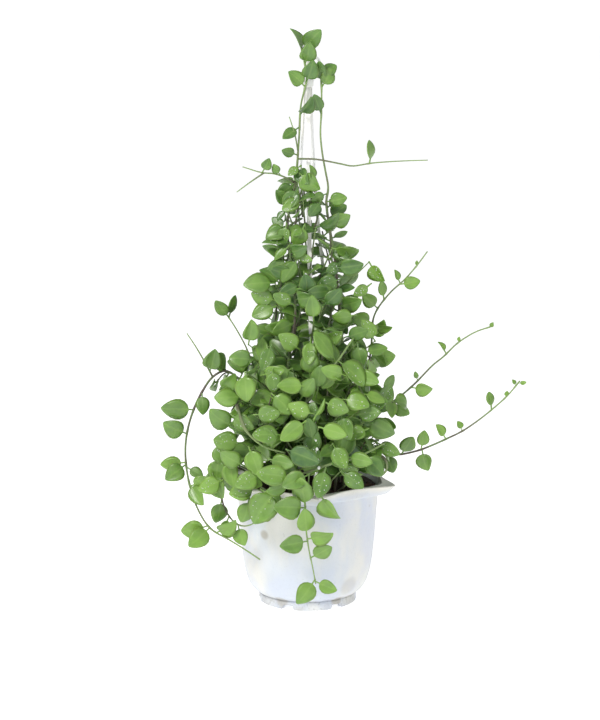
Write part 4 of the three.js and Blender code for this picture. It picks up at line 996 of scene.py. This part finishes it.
def make_soil():
    """The soil: a lumpy disc on polar rings, closed by a side along the pot's wall and a flat underside."""
    rings = 60
    azimuth = np.linspace(0, 360, 180, endpoint=False)[None]
    edge = NECK_RADIUS - WALL - 0.8
    share = np.linspace(0.003, 1, rings)[:, None]
    top = around(share * edge, azimuth, 0 * azimuth)
    mound = SOIL_TOP + SOIL_MOUND * (1 - share**1.5)
    top[..., 2] = mound + lumps(top[..., 0], top[..., 1]) * (1 - 0.6 * share**6)
    wall = ((70.5, 92), (65.5, 43), (55, 16), (49, 9.2), (0.3, 9.2))
    side = [around(r, azimuth, z + 0 * azimuth) for r, z in wall]
    points = np.concatenate([top, *side])
    quads, ends = ring_faces(*points.shape[:2])
    material = soil_material()
    soil = place_piece("soil_mass", points, (quads, ends), material)
    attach(soil, "root")
    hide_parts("soil")
    chips = bark_chips(240, edge - 2)
    quads, ends = ring_faces(*chips.shape[1:3])
    each = chips.shape[1] * chips.shape[2]
    faces = (repeated(quads, len(chips), each), repeated(ends, len(chips), each))
    bark = place_piece("bark_chips", chips, faces, material, smooth=False)
    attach(bark, "root")


def bark_chips(count, reach):
    """Chips of bark and coir: squashed balls of five rings of six points, dented by sines, spread over
    the soil on a sunflower spiral and turned from chip to chip."""
    k = np.arange(count)
    azimuth = k * 137.508
    radius = reach * np.sqrt((k + 0.5) / count)
    place = around(radius, azimuth, 0 * radius)
    size = 1.1 + 1.3 * (0.5 + 0.5 * np.sin(k * 2.3)) ** 2
    across = np.radians(np.linspace(-80, 80, 5))[:, None]
    turn = np.linspace(0, 2 * np.pi, 6, endpoint=False)[None]
    flat = np.cos(across)
    ball = np.stack(np.broadcast_arrays(flat * np.cos(turn), flat * np.sin(turn), np.sin(across)), -1)
    dent = 1 + 0.25 * np.sin(k[:, None, None] * 1.9 + 3 * turn + 2 * across)
    shape = ball[None] * dent[..., None] * size[:, None, None, None]
    shape = shape * np.stack([1.5 + 0.5 * np.sin(k), 0.9 + 0.2 * np.cos(2 * k), 0.45 + 0 * k], -1)[:, None, None]
    spin, tip = k * 1.7, 0.6 * np.sin(k * 3.1)
    x = shape[..., 0] * np.cos(tip)[:, None, None] - shape[..., 2] * np.sin(tip)[:, None, None]
    z = shape[..., 0] * np.sin(tip)[:, None, None] + shape[..., 2] * np.cos(tip)[:, None, None]
    c, s = np.cos(spin)[:, None, None], np.sin(spin)[:, None, None]
    turned = np.stack([x * c - shape[..., 1] * s, x * s + shape[..., 1] * c, z], -1)
    ground = SOIL_TOP + SOIL_MOUND * (1 - (radius / (reach + 2)) ** 1.5) + lumps(place[:, 0], place[:, 1])
    place[:, 2] = ground + 0.35 * size
    return place[:, None, None] + turned


def rounded_box(width, depth, height, corner, power=0.25, columns=24):
    """A block as rings: each ring is a superellipse, a rounded rectangle at a power of a quarter and round
    at a power of one, and the rings draw in near the top and bottom by the corner's radius."""
    t = np.linspace(0, 2 * np.pi, columns, endpoint=False)
    x = np.sign(np.cos(t)) * np.abs(np.cos(t)) ** power * width / 2
    y = np.sign(np.sin(t)) * np.abs(np.sin(t)) ** power * depth / 2
    z = np.array([0, corner * 0.3, corner, height - corner, height - corner * 0.3, height])[:, None]
    inset = np.array([corner, corner * 0.35, 0, 0, corner * 0.35, corner])[:, None]
    return np.stack(np.broadcast_arrays(x * (1 - 2 * inset / width), y * (1 - 2 * inset / depth), z), -1)


def turned_about_axis(points, azimuth):
    """The same points turned about the pot's axis by an angle in degrees."""
    a = math.radians(azimuth)
    x, y, z = points[..., 0], points[..., 1], points[..., 2]
    return np.stack([x * math.cos(a) - y * math.sin(a), x * math.sin(a) + y * math.cos(a), z], -1)


def make_hanger():
    """Straps, clips and hook. A strap is a band with rounded edges carried up the strap's bow: its flat
    side faces away from the axis, and a shallow groove runs up its middle."""
    looks = bpy.context.scene.vine_looks
    material = plastic_material(
        "hanger_plastic", looks.hanger_white, looks.pot_cream_and_reflection, looks.hanger_white, looks.pot_grime_and_shadow,
        (-1, 0), (0.9, 1), 30.0,
    )
    z = np.linspace(STRAP_BASE, STRAP_TOP, 90)
    t = np.linspace(0, 2 * np.pi, 16, endpoint=False)
    wide = np.sign(np.sin(t)) * np.abs(np.sin(t)) ** 0.4 * STRAP_WIDTH / 2
    deep = np.sign(np.cos(t)) * np.abs(np.cos(t)) ** 0.4 * STRAP_THICKNESS / 2
    deep = deep - 0.25 * np.exp(-((wide / 0.9) ** 2)) * np.sign(deep)
    middle = strap_radius(z) - STRAP_THICKNESS / 2
    lean = np.gradient(middle, z)[:, None]
    across = 1 / np.sqrt(1 + lean**2)
    band = np.stack(
        np.broadcast_arrays(wide[None], -(middle[:, None] + deep * across), z[:, None] - deep * across * lean), -1
    )
    band[..., 2] = np.clip(band[..., 2], STRAP_BASE, STRAP_TOP)
    clip = rounded_box(*CLIP_SIZE, 1.0)
    clip = clip + [0, -STRAP_FOOT_RADIUS, CLIP_BASE]
    for i, name in enumerate(("front", "right", "left")):
        azimuth = CORNER_AZIMUTH + i * 360 / STRAP_COUNT
        pieces = (("strap", band, f"strap_{name}"), ("clip", clip, f"rim_clip_{name}"))
        for kind, shape, node_name in pieces:
            quads, ends = ring_faces(*shape.shape[:2])
            turned = turned_about_axis(shape, azimuth)
            piece = place_piece(f"hanger_{kind}_{name}", turned, (quads, ends), material)
            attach(piece, "root")
            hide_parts(node_name)
    make_hook(material)


def make_hook(material):
    """The hub, a disc with rounded edges, and the hook above it, a wire carried up and round its bend."""
    hub = rounded_box(2 * HUB_RADIUS, 2 * HUB_RADIUS, HUB_HEIGHT, 1.2, power=1.0)
    top = HUB_BASE + HUB_HEIGHT
    angle = np.radians(np.arange(180, -31, -15))
    bend = [(HOOK_BEND + HOOK_BEND * math.cos(a), 0, top + 16 + HOOK_BEND * math.sin(a)) for a in angle]
    route = Route([(0, 0, top - 1), (0, 0, top + 8), *bend])
    wire, _ = swept(route, lambda share: HOOK_WIRE * (1 - 0.3 * (share > 0.985)), 12, 1.5)
    pieces = (("hanger_hub", hub + [0, 0, HUB_BASE], None), ("hanger_hook_wire", wire, "hanger_hook"))
    for name, shape, node_name in pieces:
        quads, ends = ring_faces(*shape.shape[:2])
        piece = place_piece(name, shape, (quads, ends), material)
        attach(piece, "root")
        if node_name:
            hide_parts(node_name)


def stem_radius(radius, leaf_shares):
    """Radius along a stem: slowly thinner to the tip, with a low swelling at each pair of leaves."""
    def at(share):
        taper = radius * (1.05 - 0.5 * share)
        for where in np.unique(np.round(leaf_shares, 2)):
            taper = taper + 0.28 * np.exp(-(((share - where) / 0.008) ** 2))
        return taper
    return at


def make_vine(name, vines, taken, leaf_look, stem_look, solid):
    """One vine or several: their stems as one piece, which replaces the solid, and their leaves as another."""
    stems, stem_faces, stem_blade, leaf_points, blades, tones = [], [], [], [], [], []
    used = 0
    for route, radius, leaves, by_hand in [stem for vine in vines for stem in stems_of(vine)]:
        leaves = thinned(leaves, taken, by_hand)
        rings, share = swept(route, stem_radius(radius, leaves["share"]), 8, 4.0)
        quads, ends = ring_faces(*rings.shape[:2])
        stems.append(rings.reshape(-1, 3))
        stem_faces += [quads + used, ends + used]
        used += rings.shape[0] * rings.shape[1]
        fresh = solid is None or radius < 1.15
        tip = np.broadcast_to(0.6 + 0.4 * share[:, None] if fresh else share[:, None], rings.shape[:2])
        stem_blade.append(np.stack([tip, np.full_like(tip, float(by_hand)), 0 * tip], -1).reshape(-1, 3))
        if len(leaves["length"]):
            points, blade = leaf_rings(leaves)
            leaf_points.append(points)
            blades.append(blade)
            tones.append(leaf_tone(leaves, points))
    blade = np.concatenate(stem_blade)
    stem = place_piece(f"{name}_stem", np.concatenate(stems), stem_faces, stem_look, blade=blade)
    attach(stem, "root")
    if solid:
        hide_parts(solid)
    points = np.concatenate(leaf_points)
    quads, ends = ring_faces(*points.shape[1:3])
    each = points.shape[1] * points.shape[2]
    faces = (repeated(quads, len(points), each)[:, ::-1], repeated(ends, len(points), each)[:, ::-1])
    foliage = place_piece(
        f"{name}_leaves", points, faces, leaf_look, blade=np.concatenate(blades), tone=np.concatenate(tones)
    )
    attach(foliage, "root")


def water_material():
    """Clear water with a near-white skin, a painted highlight standing for the drops' glints: a little rougher and
    whiter in fine patches.
    """
    material, tree, shader = new_material("water", IOR=1.33, Transmission_Weight=0.35)
    glint_patches = use_group(tree, "mottle", {"Vector": object_place(tree), "Scale": 600.0, "Low": 0.3, "High": 0.7})
    # Painted highlight: the drops' near-white colour stands for their glints.
    colour = blend_colours(tree, glint_patches.outputs["Mask"], (0.86, 0.93, 0.84), (0.96, 0.98, 0.95))
    tree.links.new(colour, shader.inputs["Base Color"])
    tree.links.new(maths(tree, "MULTIPLY_ADD", glint_patches.outputs["Mask"], 0.06, 0.04), shader.inputs["Roughness"])
    return material


def make_drops(table):
    """Water drops: balls of rings of points. The small ones sit on the upper skin of the wetter
    front leaves, at places spread by sines of their number, and are flattened along the skin's own
    facing. The hanging ones are drawn out downwards."""
    leaves = {key: np.concatenate([leaf[key] for leaf in table]) for key in table[0]}
    wet = np.sin(np.arange(len(leaves["base"])) * 1.9) > 0.1
    leaves = {key: value[wet] for key, value in leaves.items()}
    points, _ = leaf_rings(leaves)
    leaf = np.repeat(np.arange(len(points)), DROPS_PER_LEAF)
    k = np.arange(len(leaf))
    row, column, bulk = (np.mod(np.sin(k * rate + 1) * 4375.8, 1) for rate in (12.99, 78.23, 37.72))
    row, column = 4 + 4.6 * row, 0.9 + 2.1 * column
    r, c = row.astype(int), column.astype(int)
    a, b = (row - r)[:, None], (column - c)[:, None]
    near, far = points[leaf, r, c], points[leaf, r + 1, c]
    near_side, far_side = points[leaf, r, c + 1], points[leaf, r + 1, c + 1]
    place = (near * (1 - a) + far * a) * (1 - b) + (near_side * (1 - a) + far_side * a) * b
    up = unit(np.cross(near_side - near, far - near))
    up = up * np.sign(np.sum(up * leaves["face"][leaf], axis=1, keepdims=True))
    radius = 0.3 + 0.4 * bulk**2
    squash = np.full(len(k), 0.6)
    hang = np.array([[*spot, size] for spot, size in HANGING_DROPS], float)
    place = np.vstack([place + up * 0.1, hang[:, :3] + [0, 0, POT_HEIGHT]])
    up = np.vstack([up, np.tile(UP, (len(hang), 1))])
    radius, squash = np.concatenate([radius, hang[:, 3]]), np.concatenate([squash, np.full(len(hang), 1.3)])
    one = unit(np.cross(up, [0.3, 0.8, 0.52]))
    two = np.cross(up, one)
    rings, columns = 5, 8
    rise = np.radians(np.linspace(-82, 82, rings))[None, :, None, None]
    turn = np.linspace(0, 2 * np.pi, columns, endpoint=False)[None, None, :, None]
    size = radius[:, None, None, None]
    ball = np.cos(rise) * (np.cos(turn) * one[:, None, None] + np.sin(turn) * two[:, None, None])
    ball = place[:, None, None] + size * (ball + np.sin(rise) * squash[:, None, None, None] * up[:, None, None])
    quads, ends = ring_faces(rings, columns)
    faces = (repeated(quads, len(ball), rings * columns), repeated(ends, len(ball), rings * columns))
    drops = place_piece("water_drops", ball, faces, water_material())
    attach(drops, "root")


def front_shoots():
    """The side shoots over the front, each curving out from the middle of the foliage to its leaf, and the
    bare arching stems, as one vine of many stems."""
    shoots = []
    for x, y, height, *leaf in FRONT_LEAVES:
        route = [(0.5 * x, 0.5 * y, height - 32), (0.85 * x, 0.8 * y, height - 10), (x, y, height)]
        shoots.append({"radius": 1.0, "route": route, "leaves": [(TIP, *leaf)]})
    shoots += [{"radius": 1.5, "route": route} for route in ARCHING_STEMS]
    return shoots


def make_plant():
    """The front shoots with their drops first, then every vine, each leaf keeping clear of those before it."""
    leaf_look, stem_look = leaf_material(), stem_material()
    taken = []
    shoots = front_shoots()
    make_vine("front_shoots", shoots, taken, leaf_look, stem_look, solid=None)
    make_drops([leaves for shoot in shoots for _, _, leaves, _ in stems_of(shoot) if len(leaves["length"])])
    for name, vine in {**HAND_VINES, **wound_vines(), **bush_vines()}.items():
        make_vine(name, [vine], taken, leaf_look, stem_look, solid=name)


# ---------- Stage ----------

# In metres. The view's middle is from the foot of the pot's axis, and the lights are from the view's middle.
VIEW_MIDDLE, VIEW_HEIGHT = (-0.008, 0, 0.258), 0.756
SENSOR_HEIGHT = 36.0  # millimetres
FLOOR_REACH = 30.0
KEY_PLACE, KEY_SIZE = (-0.75, -1.25, 1.15), 0.45
FILL_PLACE, FILL_SIZE = (1.4, -1.1, 0.5), 1.2
BACK_PLACE, BACK_SIZE = (-0.5, 1.5, 1.2), 1.0
SURROUND_SEEN = 1.2  # strength of the surround as the camera sees it


def area_light(name, place, target, size, power, colour):
    """A square light at a place, turned to face its target."""
    light = bpy.data.lights.new(name, "AREA")
    light.size, light.energy, light.color = size, power, colour
    lamp = bpy.data.objects.new(name, light)
    lamp.location = place
    lamp.rotation_euler = (Vector(target) - Vector(place)).to_track_quat("-Z", "Y").to_euler()
    bpy.context.scene.collection.objects.link(lamp)


def make_stage():
    """Pale floor, soft white surround, a key from the upper left front, a fill from the right, a camera."""
    looks = bpy.context.scene.stage_looks
    material, tree, shader = new_material("pale_floor")
    cloud = use_group(tree, "mottle", {"Vector": object_place(tree), "Scale": 3.0, "Low": 0.2, "High": 0.8})
    dimmer = tuple(0.985 * c for c in looks.floor_colour)
    colour = blend_colours(tree, cloud.outputs["Mask"], looks.floor_colour, dimmer)
    tree.links.new(colour, shader.inputs["Base Color"])
    shader.inputs["Roughness"].default_value = 0.8
    shader.inputs["Emission Color"].default_value = (1.0, 1.0, 1.0, 1.0)
    shader.inputs["Emission Strength"].default_value = looks.floor_glow
    mesh = bpy.data.meshes.new("floor")
    reach = FLOOR_REACH
    corners = [(-reach, -reach, 0), (reach, -reach, 0), (reach, reach, 0), (-reach, reach, 0)]
    mesh.from_pydata(corners, [], [(0, 1, 2, 3)])
    mesh.materials.append(material)
    floor = bpy.data.objects.new("floor", mesh)
    bpy.context.scene.collection.objects.link(floor)
    world = bpy.data.worlds.new("white_surround")
    world.use_nodes = True
    sky = world.node_tree.nodes["Background"]
    sky.inputs["Color"].default_value = (0.97, 0.985, 1.0, 1.0)
    seen = node(world.node_tree, "ShaderNodeLightPath").outputs["Is Camera Ray"]
    strength = maths(world.node_tree, "MULTIPLY_ADD", seen, SURROUND_SEEN - looks.sky, looks.sky)
    world.node_tree.links.new(strength, sky.inputs["Strength"])
    scene = bpy.context.scene
    scene.world = world
    scene.view_settings.view_transform = "Standard"
    middle = Vector((POT_AXIS.x, POT_AXIS.y, 0)) + Vector(VIEW_MIDDLE)
    area_light("key", middle + Vector(KEY_PLACE), middle, KEY_SIZE, looks.key_power, (1.0, 0.98, 0.94))
    area_light("fill", middle + Vector(FILL_PLACE), middle, FILL_SIZE, looks.fill_power, (0.95, 0.98, 1.0))
    area_light("back", middle + Vector(BACK_PLACE), middle, BACK_SIZE, looks.fill_power, (1.0, 1.0, 1.0))
    camera_data = bpy.data.cameras.new("camera")
    camera_data.sensor_width = SENSOR_HEIGHT
    camera_data.lens = SENSOR_HEIGHT * looks.distance / VIEW_HEIGHT
    camera = bpy.data.objects.new("camera", camera_data)
    back = Vector((0, -math.cos(looks.elevation), math.sin(looks.elevation)))
    camera.location = middle + back * looks.distance
    camera.rotation_euler = (-back).to_track_quat("-Z", "Y").to_euler()
    scene.collection.objects.link(camera)
    scene.camera = camera


# ---------- Operators and panel ----------


class POTTEDVINE_OT_stage(bpy.types.Operator):
    """Make the floor, the lights and the camera"""

    bl_idname = "potted_vine.stage"
    bl_label = "Stage"

    def execute(self, context):
        make_stage()
        return {"FINISHED"}


class POTTEDVINE_OT_pot(bpy.types.Operator):
    """Make the white pot"""

    bl_idname = "potted_vine.pot"
    bl_label = "Pot"

    def execute(self, context):
        make_pot()
        return {"FINISHED"}


class POTTEDVINE_OT_soil(bpy.types.Operator):
    """Make the soil and the bark chips on it"""

    bl_idname = "potted_vine.soil"
    bl_label = "Soil"

    def execute(self, context):
        make_soil()
        return {"FINISHED"}


class POTTEDVINE_OT_hanger(bpy.types.Operator):
    """Make the hanger's straps, clips and hook"""

    bl_idname = "potted_vine.hanger"
    bl_label = "Hanger"

    def execute(self, context):
        make_hanger()
        return {"FINISHED"}


class POTTEDVINE_OT_plant(bpy.types.Operator):
    """Grow the vines, each as its stems and its leaves"""

    bl_idname = "potted_vine.plant"
    bl_label = "Vines"

    def execute(self, context):
        make_plant()
        return {"FINISHED"}


class POTTEDVINE_PT_sidebar(bpy.types.Panel):
    bl_label = "Potted Vine"
    bl_idname = "POTTEDVINE_PT_sidebar"
    bl_space_type = "VIEW_3D"
    bl_region_type = "UI"
    bl_category = "Potted Vine"

    def draw(self, context):
        layout = self.layout
        for group in (context.scene.vine_sizes, context.scene.vine_looks, context.scene.stage_looks):
            box = layout.box()
            for key in group.bl_rna.properties.keys():
                if key not in ("rna_type", "name"):
                    box.prop(group, key)
        for operator in OPERATORS:
            layout.operator(operator.bl_idname)


OPERATORS = (
    POTTEDVINE_OT_stage,
    POTTEDVINE_OT_pot,
    POTTEDVINE_OT_soil,
    POTTEDVINE_OT_hanger,
    POTTEDVINE_OT_plant,
)
GROUPS = {"vine_sizes": VineSizes, "vine_looks": VineLooks, "stage_looks": StageLooks}


def register():
    for kind in (*GROUPS.values(), *OPERATORS, POTTEDVINE_PT_sidebar):
        bpy.utils.register_class(kind)
    for name, kind in GROUPS.items():
        setattr(bpy.types.Scene, name, bpy.props.PointerProperty(type=kind))


def unregister():
    for name in GROUPS:
        delattr(bpy.types.Scene, name)
    for kind in (POTTEDVINE_PT_sidebar, *reversed(OPERATORS), *GROUPS.values()):
        bpy.utils.unregister_class(kind)


def main():
    register()
    mottle_group()
    round_mark_group()
    bpy.ops.potted_vine.stage()
    bpy.ops.potted_vine.pot()
    bpy.ops.potted_vine.soil()
    bpy.ops.potted_vine.hanger()
    bpy.ops.potted_vine.plant()


if __name__ == "__main__":
    main()
